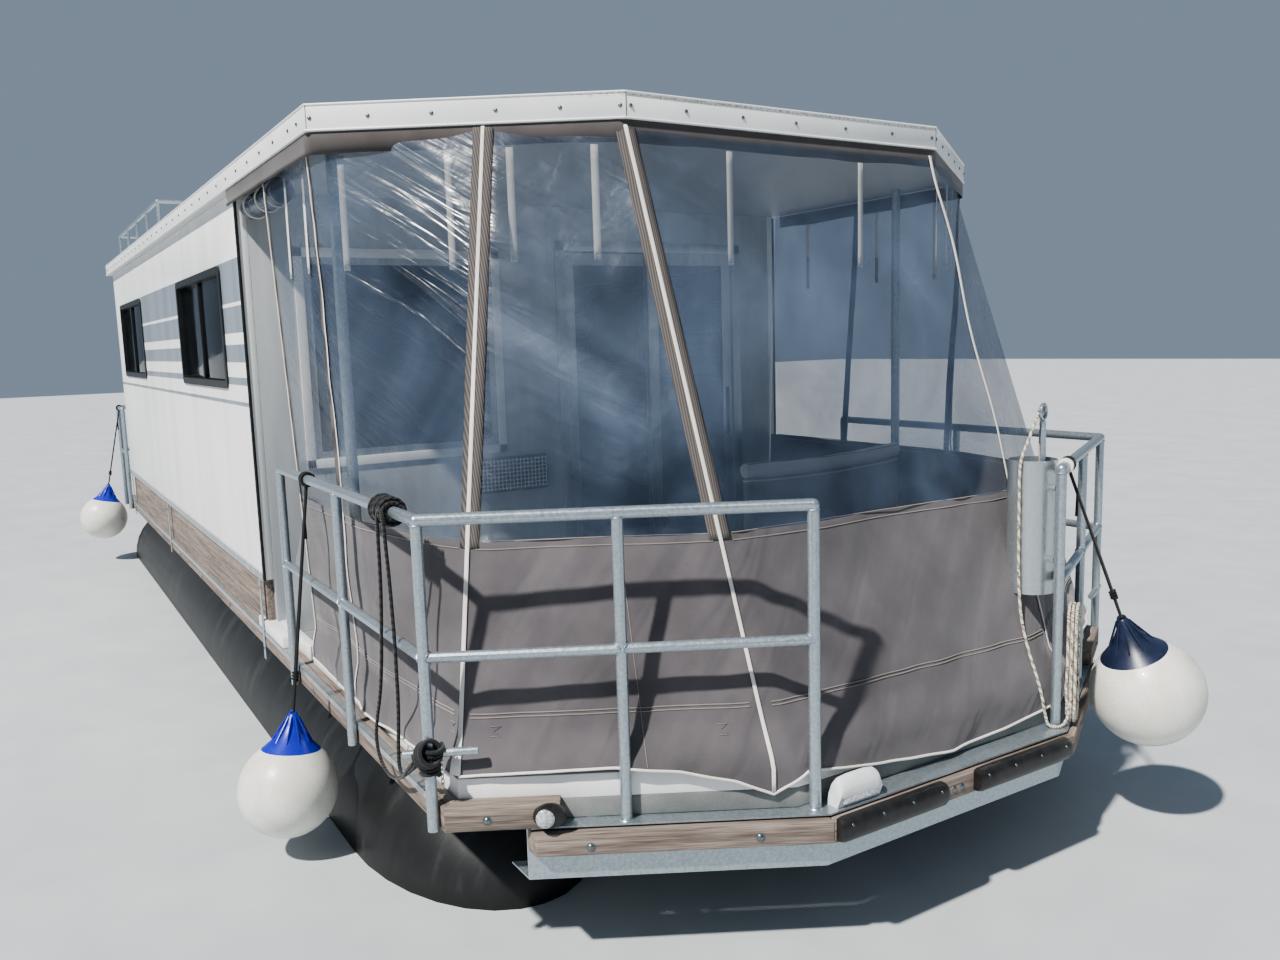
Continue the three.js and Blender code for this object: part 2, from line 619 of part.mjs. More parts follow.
const starboardOf = ([top, foot, inward]) => [mirrorY(top), mirrorY(foot), mirrorY(inward)];

// A slab between a row of top points and a row of foot points, from aft or starboard to bow or port
function tentPanel(corners, mirrored) {
  const rows = 4;
  const columns = corners.length;
  const positions = [];
  for (const face of [0, 1]) {
    for (let r = 0; r <= rows; r += 1) {
      const t = r / rows;
      for (const [top, foot, inward] of corners) {
        const x = THREE.MathUtils.lerp(top[0], foot[0], t) + face * CANVAS * inward[0];
        const y = THREE.MathUtils.lerp(top[1], foot[1], t) + face * CANVAS * inward[1];
        positions.push(x, y, THREE.MathUtils.lerp(TENT_TOP_Z, TENT_FOOT_Z, t));
      }
    }
  }
  const id = (face, r, c) => (face * (rows + 1) + r) * columns + c;
  const index = [];
  const quad = (a, b, c, d) => index.push(...(mirrored ? [a, c, b, a, d, c] : [a, b, c, a, c, d]));
  for (let r = 0; r < rows; r += 1) {
    for (let c = 0; c < columns - 1; c += 1) {
      quad(id(0, r, c), id(0, r, c + 1), id(0, r + 1, c + 1), id(0, r + 1, c));
      quad(id(1, r, c), id(1, r + 1, c), id(1, r + 1, c + 1), id(1, r, c + 1));
    }
    quad(id(0, r, 0), id(0, r + 1, 0), id(1, r + 1, 0), id(1, r, 0));
    quad(id(0, r, columns - 1), id(1, r, columns - 1), id(1, r + 1, columns - 1), id(0, r + 1, columns - 1));
  }
  for (let c = 0; c < columns - 1; c += 1) {
    quad(id(0, 0, c), id(1, 0, c), id(1, 0, c + 1), id(0, 0, c + 1));
    quad(id(0, rows, c), id(0, rows, c + 1), id(1, rows, c + 1), id(1, rows, c));
  }
  const geometry = new THREE.BufferGeometry();
  geometry.setAttribute("position", new THREE.Float32BufferAttribute(positions, 3));
  geometry.setIndex(index);
  return geometry;
}

// A cylinder that keeps the canvas clear of the anchor tube
const ANCHOR_TUBE = { x: 4750, y: 672, z0: 1100, height: 545, radius: 97, wall: 4 };
const anchorRoom = bar(
  vec(ANCHOR_TUBE.x, ANCHOR_TUBE.y, ANCHOR_TUBE.z0 - 8),
  vec(ANCHOR_TUBE.x, ANCHOR_TUBE.y, ANCHOR_TUBE.z0 + ANCHOR_TUBE.height + 8),
  ANCHOR_TUBE.radius + 8,
  20,
);
const frontCorners = [TENT.frontStart, TENT.front, starboardOf(TENT.front), starboardOf(TENT.frontStart)];
const bowCorners = [TENT.bowStart, TENT.bowEnd];
const sideCorners = [TENT.zip, TENT.side, TENT.sideEnd];
add("tent_front", cut(tentPanel(frontCorners, false), anchorRoom), canvas);
add("tent_bow_starboard", tentPanel(bowCorners.map(starboardOf), true), canvas);
add("tent_bow_port", cut(tentPanel(bowCorners, false), anchorRoom), canvas);
add("tent_side_starboard", tentPanel(sideCorners.map(starboardOf), true), canvas);
add("tent_side_port", tentPanel([TENT.aft, ...sideCorners], false), canvas);
const rollFrom = vec(DOOR_FLAP_X + 50, -1690, ROOF_Z - 90);
const rollTo = vec(ZIP_AFT_X - 30, -1690, ROOF_Z - 90);
add("tent_door_roll", bar(rollFrom, rollTo, 65, 16), canvas);

// Anchor tube on the port end post, open at the top, with an anchor standing in it
const tubeProfile = [
  [0, 0],
  [ANCHOR_TUBE.radius, 0],
  [ANCHOR_TUBE.radius, ANCHOR_TUBE.height],
  [ANCHOR_TUBE.radius - ANCHOR_TUBE.wall, ANCHOR_TUBE.height],
  [ANCHOR_TUBE.radius - ANCHOR_TUBE.wall, 6],
  [0, 6],
].map(([r, z]) => new THREE.Vector2(r, z));
const tubeBody = new THREE.LatheGeometry(tubeProfile, 24).rotateX(Math.PI / 2);
tubeBody.translate(ANCHOR_TUBE.x, ANCHOR_TUBE.y, ANCHOR_TUBE.z0);
const towardsPost = vec(RAIL_END[0] - ANCHOR_TUBE.x, RAIL_END[1] - ANCHOR_TUBE.y, 0);
const lugLength = towardsPost.length() - RAIL_R - 0.8;
towardsPost.normalize();
function tubeLug(z) {
  const start = vec(ANCHOR_TUBE.x, ANCHOR_TUBE.y, z).addScaledVector(towardsPost, ANCHOR_TUBE.radius - 2);
  const end = vec(ANCHOR_TUBE.x, ANCHOR_TUBE.y, z).addScaledVector(towardsPost, lugLength);
  return bar(start, end, 14, 8);
}
const lugs = [150, 440].map((up) => tubeLug(ANCHOR_TUBE.z0 + up));
add("anchor_tube", join(tubeBody, ...lugs), galvanised);

const shankTop = vec(ANCHOR_TUBE.x + 30, ANCHOR_TUBE.y + 20, 1800);
const shankFoot = vec(ANCHOR_TUBE.x + 40, ANCHOR_TUBE.y + 20, ANCHOR_TUBE.z0 + 30);
const flukes = [-1, 1].map((side) =>
  bar(shankFoot.clone().add(vec(-8, 0, 14)), vec(ANCHOR_TUBE.x - 20, ANCHOR_TUBE.y + side * 50, 1330), 12, 8),
);
const anchor = join(
  bar(shankFoot, shankTop, 12, 8),
  ball(shankFoot, 20, 10, 6),
  ...flukes,
  ring(shankTop.clone().add(vec(0, 0, 36)), vec(1, 0.3, 0), 30, 8),
);
add("anchor", anchor, galvanised);

// Ball fenders, each on a taut line from a hitch round a rail
const FENDERS = [
  // name, ball middle, hitch middle on the rail, rail direction, ball radius
  ["fender_starboard_bow", vec(3050, -1978, 312), vec(2950, -1783, 1620), vec(1, 0, 0), 208],
  ["fender_starboard_stern", vec(-4780, -2030, 470), vec(-4800, -1783, 1620), vec(1, 0, 0), 225],
  ["fender_port_bow", vec(4980, 1155, 627), vec(4832, 784, 1620), vec(-0.47, 0.883, 0), 230],
];
const HITCH_R = 30;
for (const [name, middle, hitch, railAxis, radius] of FENDERS) {
  const outward = middle.clone().sub(hitch).cross(railAxis).cross(railAxis).multiplyScalar(-1).normalize();
  const lineTop = hitch.clone().addScaledVector(outward, HITCH_R);
  const up = lineTop.clone().sub(middle).normalize();
  const profile = [[0, -radius]];
  for (let i = 1; i <= 10; i += 1) {
    const angle = -Math.PI / 2 + (i / 12) * Math.PI;
    profile.push([radius * Math.cos(angle), radius * Math.sin(angle)]);
  }
  profile.push([radius * 0.34, radius * 1.08], [radius * 0.17, radius * 1.36], [0, radius * 1.38]);
  const points = profile.map(([r, along]) => new THREE.Vector2(r, along));
  const body = new THREE.LatheGeometry(points, 20);
  body.applyQuaternion(new THREE.Quaternion().setFromUnitVectors(vec(0, 1, 0), up));
  body.translate(middle.x, middle.y, middle.z);
  const line = bar(middle.clone().addScaledVector(up, radius), lineTop, 7, 8);
  add(name, join(body, line, ring(hitch, railAxis, HITCH_R, 8)), fenderVinyl);
}

// A white lamp stands on the ledge: a half drum with a flat sloping face
const DECK_LAMP = { y0: -590, y1: -395, x: 4955 };
const lampShape = [[DECK_LAMP.x + 22, LEDGE_Z + GAP]];
for (let i = 0; i <= 8; i += 1) {
  const angle = (i / 8) * Math.PI * 0.75;
  lampShape.push([DECK_LAMP.x - 20 + 44 * Math.cos(angle), LEDGE_Z + 66 + 44 * Math.sin(angle)]);
}
lampShape.push([DECK_LAMP.x - 42, LEDGE_Z + GAP]);
add("ledge_lamp", sideProfile(lampShape, DECK_LAMP.y0, DECK_LAMP.y1), clearLens);

// Black mooring rope: wound on the corner post and on the top rail, with its spare length hung in a loop
const MOORING_R = 6.5;
const POST_WINDING = { z0: 758, z1: 876, radius: 38 };
const RAIL_WINDING = { x0: 3866, x1: 4150, radius: 35 };
const postAt = (z) => vec(RAIL_CORNER[0], -RAIL_CORNER[1], z);
const railAt = (x) => vec(x, -RAIL_HALF, RAIL_TOP_Z);
const crossbarRoom = bar(
  vec(CROSSBAR.from[0], -CROSSBAR.from[1], CROSSBAR.z),
  vec(CROSSBAR.to[0], -CROSSBAR.to[1], CROSSBAR.z),
  CROSSBAR.radius + 0.6,
);
const postSleeve = winding(postAt(POST_WINDING.z0), postAt(POST_WINDING.z1), RAIL_R + GAP, POST_WINDING.radius);
add("mooring_post_winding", cut(postSleeve, crossbarRoom), blackRope);
add(
  "mooring_rail_winding",
  winding(railAt(RAIL_WINDING.x0), railAt(RAIL_WINDING.x1), RAIL_R + 0.6, RAIL_WINDING.radius),
  blackRope,
);
const MOORING_ROUTE = [
  // x, distance to starboard of the centreline, z
  [4259, 1790, 800],
  [4234, 1800, 782],
  [4190, 1810, 750],
  [4130, 1812, 712],
  [4060, 1812, 676],
  [3985, 1812, 653],
  [3905, 1812, 653],
  [3842, 1812, 684],
  [3818, 1812, 742],
  [3842, 1812, 824],
  [3886, 1812, 910],
  [3922, 1812, 1005],
  [3962, 1813, 1170],
  [3990, 1815, 1305],
  [4018, 1821, 1430],
  [4036, 1826, 1540],
  [4042, 1827, 1590],
  [4055, 1827, 1622],
  [4075, 1827, 1632],
  [4095, 1827, 1620],
  [4103, 1826, 1585],
  [4102, 1822, 1500],
  [4100, 1817, 1400],
  [4103, 1815, 1290],
  [4110, 1815, 1180],
  [4109, 1815, 1060],
  [4109, 1816, 960],
  [4114, 1822, 870],
  [4121, 1829, 790],
  [4137, 1832, 740],
  [4170, 1832, 733],
  [4206, 1830, 760],
  [4234, 1824, 786],
  [4262, 1814, 806],
];
const mooringPoints = MOORING_ROUTE.map(([x, y, z]) => vec(x, -y, z));
add("mooring_rope", ropeTube(mooringPoints, MOORING_R, 80), blackRope);

// Ivory anchor rope: from the anchor's ring down past its tube and the rail's end post to a hank at the rail
const ANCHOR_ROPE_R = 6;
const ANCHOR_ROUTE = [
  // x, y, z
  [4791, 648, 1836],
  [4789, 634, 1806],
  [4783, 598, 1725],
  [4775, 572, 1660],
  [4773, 564, 1600],
  [4773, 564, 1480],
  [4774, 564, 1340],
  [4777, 564, 1200],
  [4783, 564, 1090],
  [4800, 565, 980],
  [4836, 568, 860],
  [4870, 572, 770],
  [4892, 578, 690],
  [4904, 584, 620],
  [4916, 592, 583],
  [4931, 608, 577],
  [4940, 632, 577],
  [4943, 655, 590],
];
const anchorPoints = ANCHOR_ROUTE.map(([x, y, z]) => vec(x, y, z));
add("anchor_rope", ropeTube(anchorPoints, ANCHOR_ROPE_R, 44), ivoryRope);

// The hank is a tall rounded bundle of rope, outboard of the port rail
const HANK = { x: 4925, y: 722, z0: 573, z1: 1073, width: 112, thick: 44 };
const hankHalf = HANK.width / 2;
const hankShape = new THREE.Shape();
hankShape.absarc(0, HANK.z0 + hankHalf, hankHalf, Math.PI, 2 * Math.PI, false);
hankShape.absarc(0, HANK.z1 - hankHalf, hankHalf, 0, Math.PI, false);
const hankBasis = new THREE.Matrix4().makeBasis(
  vec(Math.sin(SWEEP - 0.02), -Math.cos(SWEEP - 0.02), 0),
  vec(0, 0, 1),
  vec(-Math.cos(SWEEP - 0.02), -Math.sin(SWEEP - 0.02), 0),
);
const hank = new THREE.ExtrudeGeometry(hankShape, { depth: HANK.thick, bevelEnabled: false, curveSegments: 10 });
hank.translate(0, 0, -HANK.thick / 2).applyMatrix4(hankBasis).translate(HANK.x, HANK.y, 0);
add("anchor_rope_hank", hank, ivoryRope);

// Terrace bench with a rolled cloth bolster along its back
const bench = sideProfile(
  [
    [3140, FLOOR_Z + GAP],
    [3700, FLOOR_Z + GAP],
    [3700, 1060],
    [3210, 1060],
    [3210, 1480],
    [3140, 1480],
  ],
  390,
  1530,
);
const bolster = bar(vec(3175, 392, 1505), vec(3175, 1528, 1505), 40, 12);
add("terrace_bench", join(bench, bolster), canvas);

// Helm inside the front window: a console and its wheel, coupled to the motor's steering
const CONSOLE = { x0: 1300, x1: 1700, y0: -1350, y1: -450 };
const consoleBody = sideProfile(
  [
    [CONSOLE.x0 + 60, FLOOR_Z + GAP],
    [CONSOLE.x1, FLOOR_Z + GAP],
    [CONSOLE.x1, 1560],
    [CONSOLE.x0 + 150, 1560],
    [CONSOLE.x0, 1380],
    [CONSOLE.x0 + 60, 1100],
  ],
  CONSOLE.y0,
  CONSOLE.y1,
);
add("helm_console", consoleBody, whitePanel);

const HELM_AXIS = vec(-0.7682, 0, 0.6402); // square to the console's sloping face
const helmCentre = vec(1375, -900, 1470).addScaledVector(HELM_AXIS, 70);
const helm = new THREE.Group();
helm.position.copy(helmCentre);
helm.quaternion.setFromUnitVectors(vec(0, 0, 1), HELM_AXIS);
boat.add(helm);
const WHEEL_R = 180;
const spokes = [90, 210, 330].map((degrees) => {
  const angle = THREE.MathUtils.degToRad(degrees);
  return bar(vec(0, 0, 0), vec(WHEEL_R * Math.cos(angle), WHEEL_R * Math.sin(angle), 0), 9, 8);
});
const wheelRim = new THREE.TorusGeometry(WHEEL_R, 13, 8, 24);
const wheelHub = bar(vec(0, 0, -58), vec(0, 0, 16), 32, 16);
add("helm_wheel", join(wheelRim, wheelHub, ...spokes), motorBlack, helm);

// Outboard motor: transom board, clamp with tilt ears, swivel, and the motor with its propeller
const MOTOR = { tiltX: -5110, tiltZ: 690, steerX: -5190, shaftZ: -430 };
add("transom_board", box(-5036, -5000 - RUB_GAP, -190, 190, 400, 705), weatheredWood);

const clampPlate = box(-5070, -5036 - RUB_GAP, -100, 100, 430, 700);
const ears = [-1, 1].map((side) => {
  const edges = [side * 66, side * 96].sort((a, b) => a - b);
  return box(-5140, -5060, ...edges, 560, 715);
});
const clampHook = box(-5066, -4990, -60, 60, 706, 718);
add("motor_clamp", join(clampPlate, ...ears, clampHook, box(-5066, -5040, -60, 60, 690, 718)), motorBlack);

const swivelTube = bar(vec(MOTOR.steerX, 0, 330), vec(MOTOR.steerX, 0, 702), 30, 16);
const tiltPin = bar(vec(MOTOR.tiltX, -60, MOTOR.tiltZ - 20), vec(MOTOR.tiltX, 60, MOTOR.tiltZ - 20), 20, 12);
const swivelBody = box(MOTOR.steerX, MOTOR.tiltX + 12, -28, 28, 480, 690);
add("motor_swivel", join(swivelTube, tiltPin, swivelBody), motorBlack);

// Rounded outlines for the cowl, leg and gearcase, extruded or turned
function roundedRect(x0, x1, y0, y1, radius) {
  const shape = new THREE.Shape();
  shape.moveTo(x0 + radius, y0);
  shape.lineTo(x1 - radius, y0);
  shape.absarc(x1 - radius, y0 + radius, radius, -Math.PI / 2, 0, false);
  shape.lineTo(x1, y1 - radius);
  shape.absarc(x1 - radius, y1 - radius, radius, 0, Math.PI / 2, false);
  shape.lineTo(x0 + radius, y1);
  shape.absarc(x0 + radius, y1 - radius, radius, Math.PI / 2, Math.PI, false);
  shape.lineTo(x0, y0 + radius);
  shape.absarc(x0 + radius, y0 + radius, radius, Math.PI, 1.5 * Math.PI, false);
  return shape;
}
const cowl = new THREE.ExtrudeGeometry(roundedRect(-5425, -5120, -150, 150, 70), {
  depth: 280,
  curveSegments: 4,
  bevelThickness: 30,
  bevelSize: 26,
  bevelOffset: -26,
  bevelSegments: 2,
}).translate(0, 0, 870);
const legOutline = [
  [-5352, MOTOR.shaftZ],
  [-5236, MOTOR.shaftZ],
  [-5240, 260],
  [-5246, 850],
  [-5360, 850],
  [-5350, 260],
];
const skeg = sideProfile(
  [
    [-5370, MOTOR.shaftZ - 40],
    [-5230, MOTOR.shaftZ - 40],
    [-5310, MOTOR.shaftZ - 165],
    [-5370, MOTOR.shaftZ - 165],
  ],
  -5,
  5,
);
const gearcasePoints = [
  [0, -5408],
  [34, -5408],
  [46, -5340],
  [46, -5240],
  [34, -5190],
  [14, -5165],
  [0, -5160],
].map(([r, x]) => new THREE.Vector2(r, x));
const gearcase = new THREE.LatheGeometry(gearcasePoints, 16).rotateZ(-Math.PI / 2).translate(0, 0, MOTOR.shaftZ);
const motorUnit = join(
  cowl,
  sideProfile(legOutline, -32, 32),
  plate([[-5490, -90], [-5250, -70], [-5210, 0], [-5250, 70], [-5490, 90]], MOTOR.shaftZ + 150, MOTOR.shaftZ + 158),
  gearcase,
  skeg,
  box(-5260, MOTOR.steerX + 28, -34, 34, 712, 770),
  box(-5260, MOTOR.steerX + 28, -34, 34, 286, 322),
);
add("motor_unit", motorUnit, motorBlack);

const PROP = { x0: -5480, x1: -5414, hub: 34, radius: 122, blades: 3 };
const hub = bar(vec(PROP.x0, 0, MOTOR.shaftZ), vec(PROP.x1, 0, MOTOR.shaftZ), PROP.hub, 14);
const blades = [];
for (let i = 0; i < PROP.blades; i += 1) {
  const blade = new THREE.CylinderGeometry(48, 48, 9, 14).scale(1.2, 1, 0.8);
  blade.rotateZ(Math.PI / 2).rotateZ(0.5);
  blade.rotateX(Math.PI / 2);
  blade.translate(0, 0, PROP.radius - 56);
  blade.rotateX((i / PROP.blades) * 2 * Math.PI);
  blades.push(blade.translate((PROP.x0 + PROP.x1) / 2, 0, MOTOR.shaftZ));
}
add("propeller", join(hub, ...blades), bronze);

export default boat;
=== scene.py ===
# %% [markdown]
# This lesson dresses a CAD model of a houseboat: two round steel pontoons, a panel cabin, tube rails,
# and a bow terrace under a tent of grey cloth and clear vinyl. The CAD model gives every size and every
# place. Blender adds what the eye reads: cloth that folds, rope that hangs, wood that has weathered.
# Everything is in metres. +X is the bow, +Y is port, +Z is up, and the waterline is at height zero.

# %% Load the frame
import math

import bmesh
import bpy
from mathutils import Matrix, Vector, noise


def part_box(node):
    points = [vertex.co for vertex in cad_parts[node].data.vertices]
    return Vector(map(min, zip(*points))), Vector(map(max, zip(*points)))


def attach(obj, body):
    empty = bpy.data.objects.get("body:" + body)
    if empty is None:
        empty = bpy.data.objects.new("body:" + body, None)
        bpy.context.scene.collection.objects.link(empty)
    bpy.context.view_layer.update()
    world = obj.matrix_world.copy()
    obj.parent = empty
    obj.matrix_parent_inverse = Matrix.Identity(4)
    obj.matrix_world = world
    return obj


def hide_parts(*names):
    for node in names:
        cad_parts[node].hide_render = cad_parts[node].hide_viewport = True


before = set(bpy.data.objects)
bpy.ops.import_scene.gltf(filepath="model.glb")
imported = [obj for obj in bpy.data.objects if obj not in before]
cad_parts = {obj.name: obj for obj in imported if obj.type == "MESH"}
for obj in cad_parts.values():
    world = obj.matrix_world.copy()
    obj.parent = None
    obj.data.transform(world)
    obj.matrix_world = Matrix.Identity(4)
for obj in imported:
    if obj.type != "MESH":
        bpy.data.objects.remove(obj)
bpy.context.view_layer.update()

# %% [markdown]
# The camera stands off the starboard bow at eye height, tilted a little, as in the photograph. A matrix
# of its own right, up and back directions sets it in one step, with no aiming object.

# %% Camera
CAMERA_AT = Vector((7.4497, -2.8828, 2.1718))
LOOK = Vector((-0.84248, 0.52164, -0.13459)).normalized()
CAMERA_ROLL = math.radians(-1.714)
FOCAL_PIXELS = 1031.3
IMAGE_WIDTH = 1280
SENSOR_MM = 36
UP = Vector((0, 0, 1))

level_right = LOOK.cross(UP).normalized()
level_up = level_right.cross(LOOK)
right = math.cos(CAMERA_ROLL) * level_right + math.sin(CAMERA_ROLL) * level_up
up = -math.sin(CAMERA_ROLL) * level_right + math.cos(CAMERA_ROLL) * level_up
camera_data = bpy.data.cameras.new("camera")
camera_data.sensor_width = SENSOR_MM
camera_data.lens = SENSOR_MM * FOCAL_PIXELS / IMAGE_WIDTH
camera = bpy.data.objects.new("camera", camera_data)
bpy.context.scene.collection.objects.link(camera)
camera.matrix_world = Matrix.Translation(CAMERA_AT) @ Matrix((right, up, -LOOK)).transposed().to_4x4()
bpy.context.scene.camera = camera
print("camera lens", round(camera_data.lens, 2), "mm")

# %% [markdown]
# A procedural material is a small network of nodes. The class below has one short method for each kind
# of node, so that each finish reads as a list of what it is made of. Colours are written as the sRGB hex
# values that a paint chart would give, and one function turns them to the linear values of a renderer.

# %% Helpers for colours and nodes
def linear(hex_colour):
    channels = [int(hex_colour[i : i + 2], 16) / 255 for i in (1, 3, 5)]
    return [c / 12.92 if c <= 0.04045 else ((c + 0.055) / 1.055) ** 2.4 for c in channels] + [1.0]


class Finish:
    """A material and its nodes. Each method adds one node and gives back its output."""

    def __init__(self, name):
        self.material = bpy.data.materials.new(name)
        self.material.use_nodes = True
        self.tree = self.material.node_tree
        self.tree.nodes.clear()
        self.coordinates = self.add("ShaderNodeTexCoord", {})
        self.place = self.coordinates.outputs["Object"]
        self.axes = None

    def add(self, kind, sockets, **settings):
        """Adds a node, sets its properties, and fills or links its sockets."""
        node = self.tree.nodes.new(kind)
        for name, value in settings.items():
            setattr(node, name, value)
        for name, value in sockets.items():
            if isinstance(value, bpy.types.NodeSocket):
                self.tree.links.new(value, node.inputs[name])
            else:
                node.inputs[name].default_value = value
        return node

    def mapped(self, place=None, **sockets):
        return self.add("ShaderNodeMapping", {"Vector": place or self.place, **sockets}).outputs[0]

    def noise(self, scale, detail, place=None, **more):
        sockets = {"Vector": place or self.place, "Scale": scale, "Detail": detail, **more}
        return self.add("ShaderNodeTexNoise", sockets).outputs[0]

    def wave(self, scale, direction, place=None, **more):
        sockets = {"Vector": place or self.place, "Scale": scale, **more}
        return self.add("ShaderNodeTexWave", sockets, bands_direction=direction).outputs["Fac"]

    def axis(self, letter):
        """One coordinate of the place. Every call shares a single node."""
        if not self.axes:
            self.axes = self.add("ShaderNodeSeparateXYZ", {"Vector": self.place}).outputs
        return self.axes[letter]

    def vector(self, operation, other):
        return self.add("ShaderNodeVectorMath", {0: self.place, 1: other}, operation=operation).outputs["Value"]

    def calc(self, operation, *values):
        return self.add("ShaderNodeMath", dict(enumerate(values)), operation=operation).outputs[0]

    def spread(self, value, low, high, to_low=0.0, to_high=1.0):
        """The range from low to high, spread over to_low to to_high and held at both ends."""
        sockets = {"Value": value, "From Min": low, "From Max": high, "To Min": to_low, "To Max": to_high}
        return self.add("ShaderNodeMapRange", sockets).outputs[0]

    def ramp(self, factor, *stops):
        """Colours at their positions along the factor."""
        node = self.add("ShaderNodeValToRGB", {"Fac": factor})
        elements = node.color_ramp.elements
        while len(elements) < len(stops):
            elements.new(0.5)
        for element, (position, colour) in zip(elements, stops):
            element.position, element.color = position, linear(colour)
        return node.outputs[0]

    def mix(self, factor, first, second, blend="MIX"):
        sockets = {0: factor, 6: first, 7: second}
        return self.add("ShaderNodeMix", sockets, data_type="RGBA", blend_type=blend).outputs[2]

    def bump(self, height, distance, strength, **more):
        sockets = {"Height": height, "Distance": distance, "Strength": strength, **more}
        return self.add("ShaderNodeBump", sockets).outputs[0]

    def shade(self, **sockets):
        """The shader and its output. A socket name with spaces in it is written with underscores."""
        named = {key.replace("_", " "): value for key, value in sockets.items()}
        shader = self.add("ShaderNodeBsdfPrincipled", named)
        self.add("ShaderNodeOutputMaterial", {"Surface": shader.outputs[0]})
        return self.material


def grained(name, dark, light, patch_mm, grain_mm, depth_mm, roughness, stretch=(1, 1, 1), turn=0.0, **sockets):
    """A finish in two tones that drift over patch_mm, with a fine grain in its gloss and relief."""
    paint = Finish(name)
    place = paint.mapped(paint.mapped(Rotation=(0, 0, turn)), Scale=stretch)
    grain = paint.noise(1000 / grain_mm, 4.0, place)
    both = paint.calc("ADD", paint.noise(1000 / patch_mm, 5.0, place), grain)
    half = paint.calc("MULTIPLY", both, 0.5)
    colour = paint.ramp(half, (0.38, dark), (0.62, light))
    gloss = paint.spread(half, 0.35, 0.65, roughness - 0.06, roughness + 0.06)
    relief = paint.bump(grain, depth_mm / 1000, 0.6)
    return paint.shade(Base_Color=colour, Roughness=gloss, Normal=relief, **sockets)


print("helpers ready")

# %% [markdown]
# Most of the boat is metal, wood and rubber. Each finish starts from what the real one is and how its
# surface was made, because that decides its gloss: dipped zinc is cloudy, sawn pine is dull and streaked
# along its grain, and moulded rubber has a soft sheen.

# %% Hard finishes
SWEEP = math.radians(29.7)  # how far the bow's slanting edges turn from straight across
DRAWN = (1, 1, 0.1)
RAINED_ON = (1, 1, 0.12)
# Hot-dip galvanised steel: a zinc skin that froze in crystals 10 to 15 mm across, gone dull outdoors
galvanised = grained("galvanised_steel", "#9AA6AD", "#BAC4CA", 12, 3, 0.08, 0.36, Metallic=0.75)
# Zinc-coated sheet rolled into a tube: brighter and smoother than dipped steel
zinc_sheet = grained("zinc_coated_sheet", "#AEB6BA", "#C6CCCF", 60, 2, 0.04, 0.3, DRAWN, Metallic=0.8)
# Sawn pine left bare: the sun bleaches it grey and the soft early wood washes out along the grain
pine = {"dark": "#5A4F48", "light": "#9A8E84", "patch_mm": 18, "grain_mm": 4, "depth_mm": 0.8, "roughness": 0.82}
side_pine = grained("weathered_pine", stretch=(0.03, 1, 1), **pine)
starboard_pine = grained("weathered_pine_starboard", stretch=(1, 0.03, 1), turn=SWEEP, **pine)
port_pine = grained("weathered_pine_port", stretch=(1, 0.03, 1), turn=-SWEEP, **pine)
front_pine = grained("weathered_pine_front", stretch=(1, 0.03, 1), **pine)
# Moulded EPDM rubber: black, scuffed to grey
rubber = grained("moulded_rubber", "#151515", "#2E2D2C", 40, 2, 0.2, 0.36)
# Non-slip deck paint: sand rolled into grey enamel, grit about 1 mm drawn at 3 mm so that it shows
deck_paint = grained("sanded_deck_paint", "#6F7271", "#8C8F8C", 160, 3, 0.5, 0.85)
# Sprayed polyester enamel on moulded panels: smooth, satin, with faint rain marks
enamel = grained("white_enamel_panel", "#EBECEB", "#F4F4F2", 400, 60, 0.1, 0.34, RAINED_ON)
# The front wall under the tent: the same white sheet with painted shade, a light grey that stands for the roof's shade
# over it
white_enamel_painted_shade = grained("white_enamel_panel_painted_shade", "#ADB2B5", "#BCC0C2", 400, 60, 0.1, 0.34, RAINED_ON)
# Anodised aluminium: drawn profile with fine lines along its length
anodised = grained("anodised_aluminium", "#A9AEB0", "#C9CDCE", 60, 2, 0.04, 0.38, DRAWN, Metallic=0.8)
# Stainless steel screws and bolts: bright when new, dulled by tea-coloured stain
stainless = grained("stainless_steel", "#666C6F", "#8A9093", 9, 2, 0.03, 0.34, Metallic=0.9)
# Sprayed two-pack lacquer on cast aluminium, with a clear coat
lacquer = grained("black_motor_lacquer", "#121315", "#1D1F22", 90, 2, 0.02, 0.25, Coat_Weight=0.4)
# Cast bronze: polished by water, with brown patches
bronze = grained("cast_bronze", "#7C6A40", "#AD9A66", 30, 3, 0.1, 0.4, Metallic=0.9)
print(len(bpy.data.materials), "finishes so far")

# %% [markdown]
# The pontoons are steel tubes in dark epoxy tar. Rain and splashes leave pale streaks that run straight
# down, and the paint turns darker over the last 9 cm above the waterline. Streaks come from a noise that is
# stretched tall, and the darkening from the height itself.

# %% Pontoon paint
paint = Finish("epoxy_tar_on_steel")
fine = paint.noise(120.0, 4.0)
streaks = paint.noise(9.0, 8.0, paint.mapped(Scale=(1, 0.2, 0.25)), Roughness=0.65)
tar = paint.ramp(streaks, (0.35, "#0E1011"), (0.55, "#1A1C1D"), (0.78, "#3C3F3E"))
wobbly_height = paint.calc("MULTIPLY_ADD", fine, 0.03, paint.axis("Z"))
# darker towards the waterline, darkest at the water
darker_near_water = paint.ramp(wobbly_height, (0.0, "#3A3D39"), (0.05, "#C9CBC4"), (0.09, "#FFFFFF"))
darkened_tar = paint.mix(0.85, tar, darker_near_water, "MULTIPLY")
pontoon_paint = paint.shade(Base_Color=darkened_tar, Roughness=0.5, Normal=paint.bump(fine, 0.0006, 0.5))
print("pontoon paint ready")

# %% [markdown]
# The cabin's sides carry blue-grey stripes of foil that thin out downwards. They are bands of height, so
# the material reads the point's own height and length along the boat, and no image is needed. Each row
# below is one stripe: its lower and upper edge in metres, and how far aft and forward it runs.

